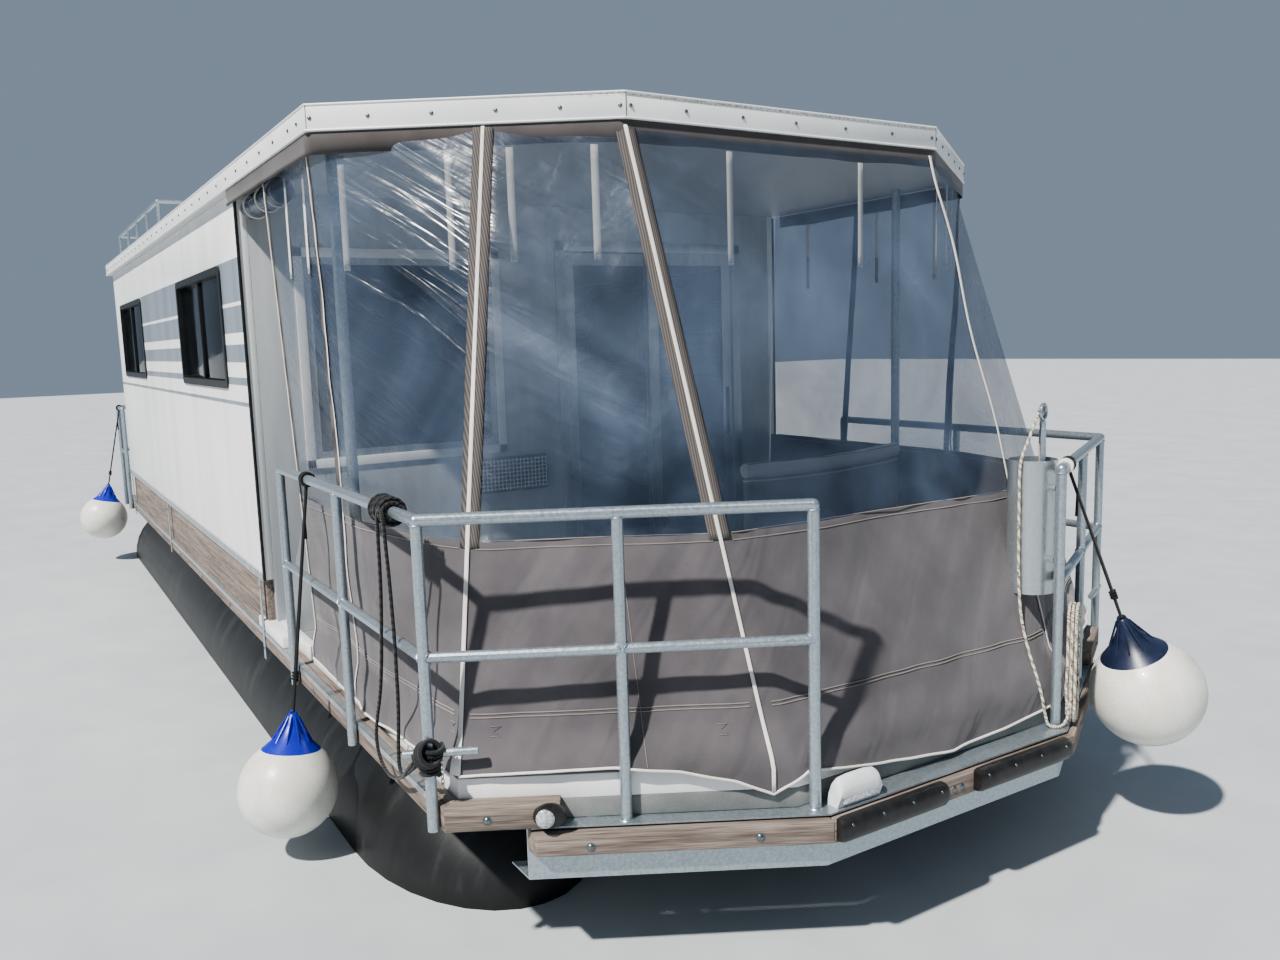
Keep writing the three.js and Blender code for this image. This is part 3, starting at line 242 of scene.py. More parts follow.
# %% Striped wall
WALL_STRIPES = [
    # lower edge, upper edge, aft end, forward end
    (2.435, 2.659, -2.4, 1.785),
    (2.273, 2.415, -2.4, 1.785),
    (2.115, 2.211, -2.4, 1.785),
    (1.992, 2.034, -2.4, 1.785),
    (1.880, 1.902, -4.5, 1.785),
]
paint = Finish("striped_enamel_panel")
inside = 0.0
for low, high, aft, fore in WALL_STRIPES:
    band = 1.0
    for letter, start, end in (("Z", low, high), ("X", aft, fore)):
        for operation, edge in (("GREATER_THAN", start), ("LESS_THAN", end)):
            band = paint.calc("MULTIPLY", paint.calc(operation, paint.axis(letter), edge), band)
    inside = paint.calc("MAXIMUM", band, inside)
rain = paint.noise(5.0, 6.0, paint.mapped(Scale=RAINED_ON))
white = paint.ramp(rain, (0.3, "#E6E8E7"), (0.6, "#F5F5F3"))
foil = paint.ramp(rain, (0.3, "#76808A"), (0.6, "#8B949D"))
orange_peel = paint.bump(paint.noise(90.0, 2.0), 0.0003, 0.3)
striped = paint.shade(Base_Color=paint.mix(inside, white, foil), Roughness=0.36, Normal=orange_peel)
print(len(WALL_STRIPES), "stripes on the wall")

# %% [markdown]
# The roof is one moulded white panel. Its top edge stays damp, and brown algae settle there in specks. A
# ramp on height finds the edge, and a fine noise breaks the brown up. The underside gets a grey of painted shade.

# %% Roof finish
ROOF_EDGE_Z = (3.058, 3.080)
SOFFIT_Z = (2.981, 2.984)
paint = Finish("white_enamel_roof")
specks = paint.noise(90.0, 3.0)
clean = paint.ramp(paint.noise(3.0, 6.0), (0.3, "#E2E4E3"), (0.7, "#F3F3F1"))
near_top = paint.spread(paint.axis("Z"), *ROOF_EDGE_Z)
damp_edge = paint.calc("MULTIPLY", near_top, paint.spread(paint.axis("X"), 3.9, 4.05))
algae = paint.calc("MULTIPLY", damp_edge, paint.spread(specks, 0.45, 0.62))
grimy = paint.mix(algae, clean, linear("#8A7A55"))
# the grey on the underside is painted shade under the roof
under = paint.spread(paint.axis("Z"), SOFFIT_Z[1], SOFFIT_Z[0])
with_painted_soffit_shade = paint.mix(under, grimy, linear("#B2B6B8"))
roof_enamel = paint.shade(Base_Color=with_painted_soffit_shade, Roughness=0.4, Normal=paint.bump(specks, 0.0003, 0.3))
print("roof finish ready")

# %% [markdown]
# The tent cloth is woven acrylic, about 2 threads to the millimetre. That is too fine to show, so the
# weave is drawn at 4 mm. Two waves at right angles make warp and weft, and a slow noise gives the damp
# and sun-bleached areas. Slanting wrinkles 60 to 120 mm apart are too fine for the mesh, so they come as
# relief. A little sheen stands for the loose fibres that catch light at the edges.

# %% Tent cloth
WAVE_PERIOD_AT_1 = 2 * math.pi / 20  # metres from one band of a wave texture to the next at scale 1


def cloth(name, dark, light, thread_mm=4.0, wrinkle_mm=0.0):
    woven = Finish(name)
    threads = WAVE_PERIOD_AT_1 / (thread_mm / 1000)
    weave = woven.calc("MULTIPLY", woven.wave(threads, "Y"), woven.wave(threads, "Z"))
    tone = woven.calc("MULTIPLY_ADD", weave, 0.12, woven.noise(2.2, 8.0, Roughness=0.6))
    colour = woven.ramp(tone, (0.35, dark), (0.7, light))
    under = {}
    if wrinkle_mm:
        drawn = woven.mapped(woven.mapped(Rotation=(-0.95, 0, 0)), Scale=(3.0, 1.3, 7.5))
        wrinkles = woven.noise(1.0, 2.0, drawn, Roughness=0.4, Distortion=0.5)
        under["Normal"] = woven.bump(wrinkles, wrinkle_mm / 1000, 0.8)
    relief = woven.bump(weave, 0.0003, 0.25, **under)
    return woven.shade(Base_Color=colour, Roughness=0.9, Normal=relief, Sheen_Weight=0.25, Sheen_Roughness=0.5)


tent_cloth = cloth("woven_acrylic_taupe", "#4E4B4D", "#666265", wrinkle_mm=30)
seat_cloth = cloth("woven_seat_cover_grey", "#77777A", "#9A9A9C", 5.0)
white_tape = cloth("woven_polyester_tape_white", "#CFCAC2", "#EDEAE4", 3.0)
print("cloth ready")

# %% [markdown]
# The tent's windows are soft clear vinyl. It is never quite clear: it is blue-grey, milky with fine
# scratches, and it creases. The alpha lets the room behind show through. The creases run slantwise and are
# deepest near the top of the zip at the starboard corner, where the sheet is pulled tight, so their noise
# is stretched along that slant and fades with distance from there. Vinyl has an index of refraction of
# 1.53, and its gloss makes the glare.

# %% Clear vinyl
PULLED_FROM = Vector((3.778, -1.250, 2.760))
CREASE_ALONG = Vector((0.65, 0.35, -0.60))
CREASE_ACROSS = Vector((0.45, 0.25, 0.85))


def vinyl_finish(name, thin, thick):
    clear = Finish(name)
    haze = clear.noise(1.6, 7.0, Distortion=0.6)
    slant = {"X": clear.vector("DOT_PRODUCT", CREASE_ALONG), "Y": clear.vector("DOT_PRODUCT", CREASE_ACROSS)}
    lines = clear.mapped(clear.add("ShaderNodeCombineXYZ", slant).outputs[0], Scale=(1.1, 9, 1))
    near = clear.spread(clear.vector("DISTANCE", PULLED_FROM), 0.1, 2.0, 1.15, 0.12)
    pulled = clear.calc("MULTIPLY", clear.noise(1.5, 3.0, lines, Distortion=0.7), near)
    crumpled = clear.calc("MULTIPLY_ADD", clear.noise(6.0, 3.0, Distortion=1.0), 0.30, pulled)
    return clear.shade(
        Base_Color=clear.ramp(haze, (0.35, "#3F4C5F"), (0.7, "#6C7C93")),
        Roughness=clear.spread(haze, 0.3, 0.7, 0.20, 0.36),
        IOR=1.53,
        Alpha=clear.spread(haze, 0.3, 0.7, thin, thick),
        Normal=clear.bump(crumpled, 0.035, 0.5),
        Specular_IOR_Level=1.0,
    )


vinyl = vinyl_finish("clear_vinyl_sheet", 0.30, 0.58)
rolled_vinyl = vinyl_finish("clear_vinyl_rolled", 0.72, 0.9)
print("vinyl ready")

# %% [markdown]
# The cabin windows are smoked acrylic in black frames, and look nearly black from outside by day. The
# lamps have clear polycarbonate lenses, drawn opaque, and their patches of grey and near white are painted
# reflection. Both are smooth, so a slight unevenness in the reflection is all the relief they have.

# %% Glass and lens
smoked_glass = grained("smoked_acrylic", "#0C1012", "#171D20", 500, 250, 1.2, 0.1, Alpha=0.86, IOR=1.49)
door_glass = grained("clear_float_glass", "#7F8F9A", "#93A3AD", 500, 250, 0.6, 0.1, Alpha=0.28, IOR=1.52)
# the lens's grey and near-white patches are painted reflection
lens = grained("clear_polycarbonate_painted_reflection", "#7E868B", "#D5DADC", 9, 5, 1.2, 0.12, IOR=1.58, Coat_Weight=0.5)
black_frame = grained("powder_coated_aluminium_black", "#17191A", "#232627", 60, 2, 0.08, 0.45)
print("glass and lens ready")

# %% [markdown]
# Rope is strands laid or braided together. A curve object carries a UV map that runs along its length, so
# a slanted wave on it draws the strands at their real pitch. The black mooring rope is braided polyester,
# and the ivory anchor rope has dark tracer yarns.

# %% Rope finishes
def rope_finish(name, dark, light, length, pitch_mm, fleck=None):
    lay = Finish(name)
    along = lay.mapped(lay.coordinates.outputs["UV"], Scale=(length * 1000 / pitch_mm, 2, 1))
    strand = lay.wave(0.32, "DIAGONAL", along, Distortion=0.4)
    colour = lay.ramp(strand, (0.1, dark), (0.7, light))
    if fleck:
        colour = lay.mix(lay.spread(lay.noise(110.0, 2.0), 0.58, 0.66), colour, linear(fleck))
    return lay.shade(Base_Color=colour, Roughness=0.85, Normal=lay.bump(strand, 0.002, 0.8), Sheen_Weight=0.2)


print("rope finish ready")

# %% [markdown]
# Four small makers cover most shapes: a surface lofted through rows of points, a tube swept along
# points, a turned form, and a block with rounded edges. Each gives its points and faces as plain lists,
# so that many small parts of one kind can be gathered in a single mesh. The placing helper then names
# the CAD body that the piece moves with.

# %% Shape makers
def clamp(value):
    return min(1.0, max(0.0, value))


def wavering(x, y, z):
    """Smooth noise between -1 and 1, the same on each run."""
    return noise.noise(Vector((x, y, z)))


def angles(count):
    return [2 * math.pi * k / count for k in range(count)]


def bearing(angle, side, other):
    """The direction at an angle, between two directions square to each other."""
    return math.cos(angle) * side + math.sin(angle) * other


def square_to(axis):
    side = axis.orthogonal().normalized()
    return side, axis.cross(side)


def hoop(centre, side, other, radius, count):
    """Points set evenly round a centre."""
    return [centre + radius * bearing(angle, side, other) for angle in angles(count)]


def lofted(rows, around=False, closed=False, flip=False):
    """A surface through rows of points. around joins the ends of each row, closed the first row to the last."""
    count, across = len(rows), len(rows[0])
    verts = [point for row in rows for point in row]
    faces = []
    for r in range(count if closed else count - 1):
        here, there = r * across, (r + 1) % count * across
        for c in range(across if around else across - 1):
            n = (c + 1) % across
            quad = (here + c, here + n, there + n, there + c)
            faces.append((quad[0], *quad[:0:-1]) if flip else quad)
    if around and not closed:
        ends = tuple(range(across)), tuple(range(len(verts) - across, len(verts)))
        faces += [ends[0], ends[1][::-1]] if flip else [ends[0][::-1], ends[1]]
    return verts, faces


def swept(points, radius, sides=14, closed=False):
    """A tube along points. Each ring keeps the turn of the last one, so the tube doesn't twist."""
    points = [Vector(p) for p in points]
    last = len(points) - 1
    rings, side = [], None
    for i, point in enumerate(points):
        ahead = points[(i + 1) % len(points)] if closed or i < last else point
        behind = points[i - 1] if closed or i > 0 else point
        along = (ahead - behind).normalized()
        if side is None:
            side = along.orthogonal().normalized()
        side = (side - along * side.dot(along)).normalized()
        rings.append(hoop(point, side, along.cross(side), radius, sides))
    return lofted(rings, around=True, closed=closed, flip=True)


def turned(profile, foot, axis, sides=24):
    """A form turned about an axis from [radius, height] points that start and end on it."""
    foot, axis = Vector(foot), Vector(axis).normalized()
    verts, faces, rings = [], [], []
    for radius, along in profile:
        points = hoop(foot + axis * along, *square_to(axis), radius, sides if radius else 1)
        rings.append(range(len(verts), len(verts) + len(points)))
        verts += points
    for low, high in zip(rings, rings[1:]):
        for k in range(sides):
            quad = [low[k % len(low)], low[(k + 1) % len(low)], high[(k + 1) % len(high)], high[k % len(high)]]
            faces.append(tuple(dict.fromkeys(quad)))
    return verts, [face for face in faces if len(face) > 2]


def block(low, high, bevel=0.003, turn=None):
    """A block with rounded edges between two corners, turned by a matrix if one is given."""
    made = bmesh.new()
    bmesh.ops.create_cube(made, size=1)
    for vert in made.verts:
        vert.co = Vector([low[i] + (vert.co[i] + 0.5) * (high[i] - low[i]) for i in range(3)])
    bmesh.ops.bevel(made, geom=made.edges[:], offset=bevel, segments=2, affect="EDGES", profile=0.6)
    if turn:
        bmesh.ops.transform(made, matrix=turn, verts=made.verts)
    made.verts.index_update()
    result = [v.co.copy() for v in made.verts], [tuple(v.index for v in f.verts) for f in made.faces]
    made.free()
    return result


def beam(x, y, z, bevel=0.003):
    """A block between two values of x, of y and of z, each pair in any order."""
    pairs = [sorted(pair) for pair in (x, y, z)]
    return block([pair[0] for pair in pairs], [pair[1] for pair in pairs], bevel)


def moved(shape, matrix):
    verts, faces = shape
    return [matrix @ Vector(v) for v in verts], faces


def shown(name, data):
    made = bpy.data.objects.new(name, data)
    bpy.context.scene.collection.objects.link(made)
    return made


def gather(name, shapes, materials, marks=None):
    """One mesh object from several shapes. marks gives each shape's material by number."""
    verts, faces, numbers = [], [], []
    for i, (shape_verts, shape_faces) in enumerate(shapes):
        start = len(verts)
        verts += [tuple(v) for v in shape_verts]
        faces += [tuple(start + k for k in face) for face in shape_faces]
        numbers += [marks[i] if marks else 0] * len(shape_faces)
    mesh = bpy.data.meshes.new(name)
    mesh.from_pydata(verts, [], faces)
    for material in materials if isinstance(materials, list) else [materials]:
        mesh.materials.append(material)
    mesh.polygons.foreach_set("material_index", numbers)
    mesh.polygons.foreach_set("use_smooth", [True] * len(mesh.polygons))
    mesh.set_sharp_from_angle(angle=math.radians(35))
    mesh.update()
    return shown(name, mesh)


def thickened(piece):
    piece.modifiers.new("thickness", "SOLIDIFY").thickness = 0.0015
    return piece


def coated(mesh, material):
    """Gives the whole mesh one finish."""
    mesh.materials.clear()
    mesh.materials.append(material)
    mesh.polygons.foreach_set("material_index", [0] * len(mesh.polygons))


def settle(piece, body="hull", stands_for=()):
    """The piece rides on its CAD body and hides the CAD nodes that it stands for."""
    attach(piece, body)
    if stands_for:
        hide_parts(*stands_for)
    return piece


print("shape makers ready")

# %% [markdown]
# The black mooring rope is 13 mm braid. It is wound on the corner post and on the top rail, and its spare
# length hangs between the two in a long loop. A rope is a curve with a round bevel: its control points
# are the route, and gravity sets their places, two near-straight strands with a slack turn below.

# %% Mooring rope
def rope(name, points, radius, material):
    curve = bpy.data.curves.new(name, "CURVE")
    curve.dimensions = "3D"
    curve.bevel_depth = radius
    curve.bevel_resolution = 3
    curve.resolution_u = 8
    curve.use_fill_caps = True
    spline = curve.splines.new("BEZIER")
    spline.bezier_points.add(len(points) - 1)
    for knot, point in zip(spline.bezier_points, points):
        knot.co = point
        knot.handle_left_type = knot.handle_right_type = "AUTO"
    curve.materials.append(material)
    return shown(name, curve)


def length_of(points):
    return sum((Vector(b) - Vector(a)).length for a, b in zip(points, points[1:]))


MOORING_ROUTE = [
    # x, distance to starboard of the centreline, z
    (4.259, 1.790, 0.800),
    (4.234, 1.800, 0.782),
    (4.190, 1.810, 0.750),
    (4.130, 1.812, 0.712),
    (4.060, 1.812, 0.676),
    (3.985, 1.812, 0.653),
    (3.905, 1.812, 0.653),
    (3.842, 1.812, 0.684),
    (3.818, 1.812, 0.742),
    (3.842, 1.812, 0.824),
    (3.886, 1.812, 0.910),
    (3.922, 1.812, 1.005),
    (3.962, 1.813, 1.170),
    (3.990, 1.815, 1.305),
    (4.018, 1.821, 1.430),
    (4.036, 1.826, 1.540),
    (4.042, 1.827, 1.590),
    (4.055, 1.827, 1.622),
    (4.075, 1.827, 1.632),
    (4.095, 1.827, 1.620),
    (4.103, 1.826, 1.585),
    (4.102, 1.822, 1.500),
    (4.100, 1.817, 1.400),
    (4.103, 1.815, 1.290),
    (4.110, 1.815, 1.180),
    (4.109, 1.815, 1.060),
    (4.109, 1.816, 0.960),
    (4.114, 1.822, 0.870),
    (4.121, 1.829, 0.790),
    (4.137, 1.832, 0.740),
    (4.170, 1.832, 0.733),
    (4.206, 1.830, 0.760),
    (4.234, 1.824, 0.786),
    (4.262, 1.814, 0.806),
]
MOORING_DIAMETER = 0.013
mooring_points = [Vector((x, -y, z)) for x, y, z in MOORING_ROUTE]
black_braid = rope_finish("braided_polyester_black", "#0E0F10", "#2C2D2F", 2.4, 9)
mooring = rope("mooring_rope_loop", mooring_points, MOORING_DIAMETER / 2, black_braid)
settle(mooring, stands_for=["mooring_rope"])
print("mooring loop of about", round(length_of(mooring_points), 3), "m")

# %% [markdown]
# A winding is a helix round the rail or the post. On the rail a second layer runs back over the first,
# with fewer turns and a lumpy radius, because nobody winds a spare rope neatly.

# %% Windings of the mooring rope
RAIL_HALF = 1.783
RAIL_TOP_Z = 1.620
POST_XY = (4.300, -1.783)
WINDING_FROM = Vector((3.915, -RAIL_HALF, RAIL_TOP_Z))
INNER_TURNS, OUTER_TURNS, TURN_STEPS = 12, 7, 14
INNER_RADIUS, LAYER = 0.0285, 0.0145
OUTER_PITCH = 0.019


def wound(start, axis, turns, radius, pitch, steps=TURN_STEPS, phase=0.0):
    """The points of a rope wound round an axis."""
    start, axis = Vector(start), Vector(axis).normalized()
    side, other = square_to(axis)
    points = []
    for i in range(int(turns * steps) + 1):
        angle = phase + 2 * math.pi * i / steps
        points.append(start + axis * pitch * i / steps + radius * bearing(angle, side, other))
    return points


rail_points = wound(WINDING_FROM, (1, 0, 0), INNER_TURNS, INNER_RADIUS, LAYER)
outer_start = rail_points[-1] - rail_points[0]
first_side = (rail_points[0] - WINDING_FROM).normalized()
for i in range(1, OUTER_TURNS * TURN_STEPS + 1):
    turns = i / TURN_STEPS
    angle = 2 * math.pi * turns
    lump = 0.0035 * max(0.0, math.sin(angle * 0.37)) * min(1.0, turns)
    radius = INNER_RADIUS + LAYER * min(1.0, 2 * turns) + lump
    middle = WINDING_FROM + Vector((outer_start.x - OUTER_PITCH * turns, 0, 0))
    rail_points.append(middle + Matrix.Rotation(angle, 3, "X") @ first_side * radius)
post_points = wound((*POST_XY, 0.766), (0, 0, 1), 3.2, 0.0295, 0.0150)
post_points += wound((*POST_XY, 0.826), (0.3, 0.1, 1), 3.0, 0.0365, 0.0155, phase=0.9)
cross_points = wound((4.303, -1.800, 0.838), (0.55, 0.1, 0.25), 3.4, 0.0400, 0.0150, phase=2.0)

wound_braid = rope_finish("braided_polyester_black_wound", "#0E0F10", "#2C2D2F", 4.0, 9)
rail_winding = rope("mooring_winding_on_rail", rail_points, 0.0064, wound_braid)
settle(rail_winding, stands_for=["mooring_rail_winding"])
post_winding = rope("mooring_winding_on_post", post_points, 0.0080, wound_braid)
settle(post_winding, stands_for=["mooring_post_winding"])
cross_winding = rope("mooring_winding_on_crossbar", cross_points, 0.0080, wound_braid)
settle(cross_winding)
print("windings of", round(length_of(rail_points), 2), "and", round(length_of(post_points), 2), "m")

# %% [markdown]
# The anchor rope is 12 mm, ivory with dark tracer yarns. It leaves the anchor's ring, hangs down outside
# the anchor tube to the ledge, goes round the rail's end post, and is put away in a tall hank outboard of
# the port rail. All of it is one curve, so the hank has its whole length in its turns. The turns lie in
# three layers, first the outer three and then the inner three, a rope's thickness apart.

# %% Anchor rope and its hank
ANCHOR_ROUTE = [
    (4.791, 0.648, 1.836),
    (4.789, 0.634, 1.806),
    (4.783, 0.598, 1.725),
    (4.775, 0.572, 1.660),
    (4.773, 0.564, 1.600),
    (4.773, 0.564, 1.480),
    (4.774, 0.564, 1.340),
    (4.777, 0.564, 1.200),
    (4.783, 0.564, 1.090),
    (4.800, 0.565, 0.980),
    (4.836, 0.568, 0.860),
    (4.870, 0.572, 0.770),
    (4.892, 0.578, 0.690),
    (4.904, 0.584, 0.620),
    (4.916, 0.592, 0.583),
    (4.931, 0.608, 0.577),
    (4.940, 0.632, 0.577),
    (4.943, 0.655, 0.590),
    (4.948, 0.672, 0.640),
]
RING_ROUTE = [
    (4.779, 0.684, 1.560),
    (4.772, 0.688, 1.700),
    (4.768, 0.694, 1.800),
    (4.774, 0.694, 1.846),
    (4.783, 0.674, 1.852),
    (4.791, 0.650, 1.841),
]
ANCHOR_ROPE_RADIUS = 0.006
HANK_AT = Vector((4.925, 0.722, 0.0))
HANK_LOW_Z, HANK_HIGH_Z = 0.573, 1.073
HANK_WIDE, HANK_NARROW, HANK_LAYER = 0.0495, 0.0365, 0.0145
HANK_TURNS = [(HANK_WIDE, layer) for layer in (-HANK_LAYER, 0.0, HANK_LAYER)]
HANK_TURNS += [(HANK_NARROW, layer) for layer in (HANK_LAYER, 0.0, -HANK_LAYER)]
HANK_TURN = SWEEP - 0.02
hank_side = Vector((math.sin(HANK_TURN), -math.cos(HANK_TURN), 0))
hank_out = Vector((math.cos(HANK_TURN), math.sin(HANK_TURN), 0))


def hank_at(across, depth, z):
    return HANK_AT + hank_side * across + hank_out * depth + UP * z


def hank_points():
    """Long turns: up one side, over the top, down the other side and under to the next turn."""
    low_z = HANK_LOW_Z + ANCHOR_ROPE_RADIUS + HANK_WIDE
    high_z = HANK_HIGH_Z - ANCHOR_ROPE_RADIUS - HANK_WIDE
    middle_z = (low_z + high_z) / 2
    bend_shares = [k / 8 for k in range(1, 8)]
    points = []
    for (radius, layer), after in zip(HANK_TURNS, HANK_TURNS[1:] + [None]):
        points += [hank_at(radius, layer, z) for z in (low_z + 0.05, middle_z, high_z - 0.02)]
        for angle in [math.pi * share for share in bend_shares]:
            points.append(hank_at(radius * math.cos(angle), layer, high_z + radius * math.sin(angle)))
        points += [hank_at(-radius, layer, z) for z in (high_z - 0.02, middle_z, low_z + 0.02)]
        for share in bend_shares if after else []:
            angle = math.pi * share
            bend = radius + (after[0] - radius) * share
            depth = layer + (after[1] - layer) * (0.5 - 0.5 * math.cos(angle))
            points.append(hank_at(-bend * math.cos(angle), depth, low_z - bend * math.sin(angle)))
    return points


anchor_points = [Vector(p) for p in ANCHOR_ROUTE] + hank_points()
ivory_lay = rope_finish("laid_polyester_ivory", "#9A9284", "#DDD6C6", 8.1, 12, fleck="#3A3630")
anchor_line = rope("anchor_rope_line", anchor_points, ANCHOR_ROPE_RADIUS, ivory_lay)
settle(anchor_line, stands_for=["anchor_rope", "anchor_rope_hank"])
ring_turn = rope("anchor_rope_through_ring", RING_ROUTE, ANCHOR_ROPE_RADIUS, ivory_lay)
settle(ring_turn)
print("anchor rope of about", round(length_of(anchor_points), 3), "m")

# %% [markdown]
# A rope's true length is that of its smooth curve, a little longer than the chain of its control points.
# A copy with no thickness turns into a line of short edges, and their sum is the length that is printed.


def curve_length(piece):
    made = piece.data.copy()
    made.bevel_depth = 0
    bare = shown("measured", made)
    bpy.context.view_layer.update()
    mesh = bare.evaluated_get(bpy.context.evaluated_depsgraph_get()).to_mesh()
    total = length_of([v.co for v in mesh.vertices])
    bpy.data.objects.remove(bare)
    return total


print("mooring loop", round(curve_length(mooring), 4), "m, anchor rope", round(curve_length(anchor_line), 4), "m")

# %% [markdown]
# The studio is plain: a pale floor at the height of the waterline, an even sky, and one sun, high over
# the starboard quarter of the picture. The sun is a few degrees wide, so the rails throw soft shadows on
# the tent, as they do on a bright day.

# %% Floor and light
FLOOR_HALF = 60
SUN_DIRECTION = Vector((-0.21, 0.595, -0.775))
floor_finish = grained("pale_floor", "#B9BEC1", "#C2C6C8", 900, 300, 0.1, 0.75)
floor_corners = [(x * FLOOR_HALF, y * FLOOR_HALF, 0) for x, y in ((-1, -1), (1, -1), (1, 1), (-1, 1))]
floor = gather("floor", [(floor_corners, [(0, 1, 2, 3)])], floor_finish)

sun_data = bpy.data.lights.new("sun", "SUN")
sun_data.energy = 5.6
sun_data.angle = math.radians(2)
sun_data.color = (1.0, 0.965, 0.92)
sun = shown("sun", sun_data)
sun.matrix_world = SUN_DIRECTION.to_track_quat("-Z", "Y").to_matrix().to_4x4()

world = bpy.data.worlds.new("even_sky")
bpy.context.scene.world = world
world.use_nodes = True
sky = world.node_tree.nodes["Background"]
sky.inputs["Color"].default_value = linear("#BFD2EA")
sky.inputs["Strength"].default_value = 0.38
bpy.context.scene.view_settings.look = "AgX - Medium High Contrast"
print("floor, sun and sky")

# %% [markdown]
# CAD pieces whose shape is right stay, and get a finish and softened edges. Their points were split at
# every edge on the way in, so a weld joins them again, a narrow bevel catches the light along the edges,
# and the shading stays flat only where the surface turns sharply.

# %% Dress the CAD pieces
DRESS = [
    # finish, bevel in millimetres, nodes
    (pontoon_paint, 0, ["pontoon_starboard", "pontoon_port"]),
    (deck_paint, 3, ["deck"]),
    (side_pine, 4, ["rub_timber_starboard", "rub_timber_port"]),
    (side_pine, 3, ["sill_plank_starboard", "sill_plank_port"]),
    (starboard_pine, 5, ["ledge_timber_starboard"]),
    (front_pine, 5, ["ledge_timber_front"]),
    (front_pine, 3, ["transom_board"]),
    (port_pine, 5, ["ledge_timber_port"]),
    (enamel, 4, ["coaming"]),
    (enamel, 6, ["helm_console"]),
    (enamel, 1.5, ["wall_stern"]),
    (striped, 1.5, ["wall_starboard", "wall_port"]),
    # the front wall's grey is painted shade under the roof
    (white_enamel_painted_shade, 1.5, ["wall_front"]),
    (roof_enamel, 5, ["roof"]),
    (galvanised, 0, ["deck_frame", "bow_rail_starboard", "bow_rail_port", "stern_rail_starboard"]),
    (galvanised, 0, ["stern_rail_port", "roof_post_starboard", "roof_post_port", "roof_rail"]),
    (galvanised, 0, ["stern_ladder", "anchor"]),
    (zinc_sheet, 0, ["anchor_tube"]),
    (rubber, 0, ["helm_wheel"]),
    (lacquer, 2, ["motor_clamp", "motor_swivel"]),
    (lacquer, 0, ["motor_unit"]),
    (bronze, 0, ["propeller"]),
]
RUB_TURNS_AT_X = 4.275
for material, bevel_mm, nodes in DRESS:
    for piece in [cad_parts[node] for node in nodes]:
        coated(piece.data, material)
        piece.data.polygons.foreach_set("use_smooth", [True] * len(piece.data.polygons))
        piece.modifiers.new("weld", "WELD").merge_threshold = 0.00002
        if bevel_mm:
            bevel = piece.modifiers.new("bevel", "BEVEL")
            bevel.width = bevel_mm / 1000
            bevel.segments = 2
            bevel.limit_method = "ANGLE"
            bevel.angle_limit = math.radians(40)
        piece.modifiers.new("sharp_edges", "EDGE_SPLIT").split_angle = math.radians(41)
# The rub timbers turn inwards at the bow, and the grain turns with them
for node, material in (("rub_timber_starboard", starboard_pine), ("rub_timber_port", port_pine)):
    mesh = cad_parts[node].data
    mesh.materials.append(material)
    for polygon in mesh.polygons:
        if polygon.center.x > RUB_TURNS_AT_X:
            polygon.material_index = 1
print(sum(len(nodes) for _, _, nodes in DRESS), "CAD pieces dressed")

# %% [markdown]
# The tent hangs from the roof's edge and leans out to the coaming. Five panels meet at zips. Each panel
# is one sheet: a row of corner lines from top to foot is read across by s, and down by height, so the
# same function also places the zips, straps and seams on it. Cloth and vinyl are pushed in and out by
# smooth folds, which die away at the zips, because there the sheet is held.

# %% Tent surfaces
TENT_TOP_Z, TENT_FOOT_Z = 2.976, 0.729
SEAM_Z = 1.490  # where the clear vinyl is sewn to the cloth
# Each line is a corner of the port side in plan: its top and its foot
AFT_LINE = ((1.791, 1.779), (1.791, 1.682))
ZIP_LINE = ((2.530, 1.779), (2.530, 1.682))
SIDE_LINE = ((3.392, 1.779), (3.470, 1.682))
BOW_LINE = ((3.778, 1.250), (4.297, 1.682))
CORNER_LINE = ((4.070, 0.812), (4.820, 0.759))
FRONT_LINE = ((4.073, 0.735), (4.856, 0.690))


def starboard(line):
    return tuple((x, -y) for x, y in line)


TENT_PANELS = {
    # name: lines from aft or starboard to bow or port, hem heights along it as (s, z)
    "side_starboard": (
        [starboard(ZIP_LINE), starboard(SIDE_LINE), starboard(BOW_LINE)],
        [(0.0, 0.705), (0.5, 0.690), (1.0, 0.741)],
    ),
    "bow_starboard": (
        [starboard(BOW_LINE), starboard(CORNER_LINE)],
        [(0.0, 0.741), (0.25, 0.748), (0.5, 0.752), (0.7, 0.729), (0.88, 0.685), (1.0, 0.630)],
    ),
    "front": (
        [starboard(CORNER_LINE), starboard(FRONT_LINE), FRONT_LINE, CORNER_LINE],
        [(0.0, 0.630), (0.08, 0.700), (0.30, 0.640), (0.54, 0.600), (0.74, 0.612), (0.92, 0.642), (1.0, 0.650)],
    ),
    "bow_port": ([CORNER_LINE, BOW_LINE], [(0.0, 0.650), (0.3, 0.690), (1.0, 0.741)]),
    "side_port": ([BOW_LINE, SIDE_LINE, ZIP_LINE, AFT_LINE], [(0.0, 0.741), (0.5, 0.690), (1.0, 0.705)]),
}


def hem_z(panel, s):
    """The hem's height at s, on the broken line of its (s, height) pairs."""
    pairs = TENT_PANELS[panel][1]
    for (s0, z0), (s1, z1) in zip(pairs, pairs[1:]):
        if s <= s1:
            return z0 + (z1 - z0) * (s - s0) / (s1 - s0)
    return pairs[-1][1]


def down(z):
    """The share of the way from the tent's top to its foot."""
    return (TENT_TOP_Z - max(z, TENT_FOOT_Z)) / (TENT_TOP_Z - TENT_FOOT_Z)


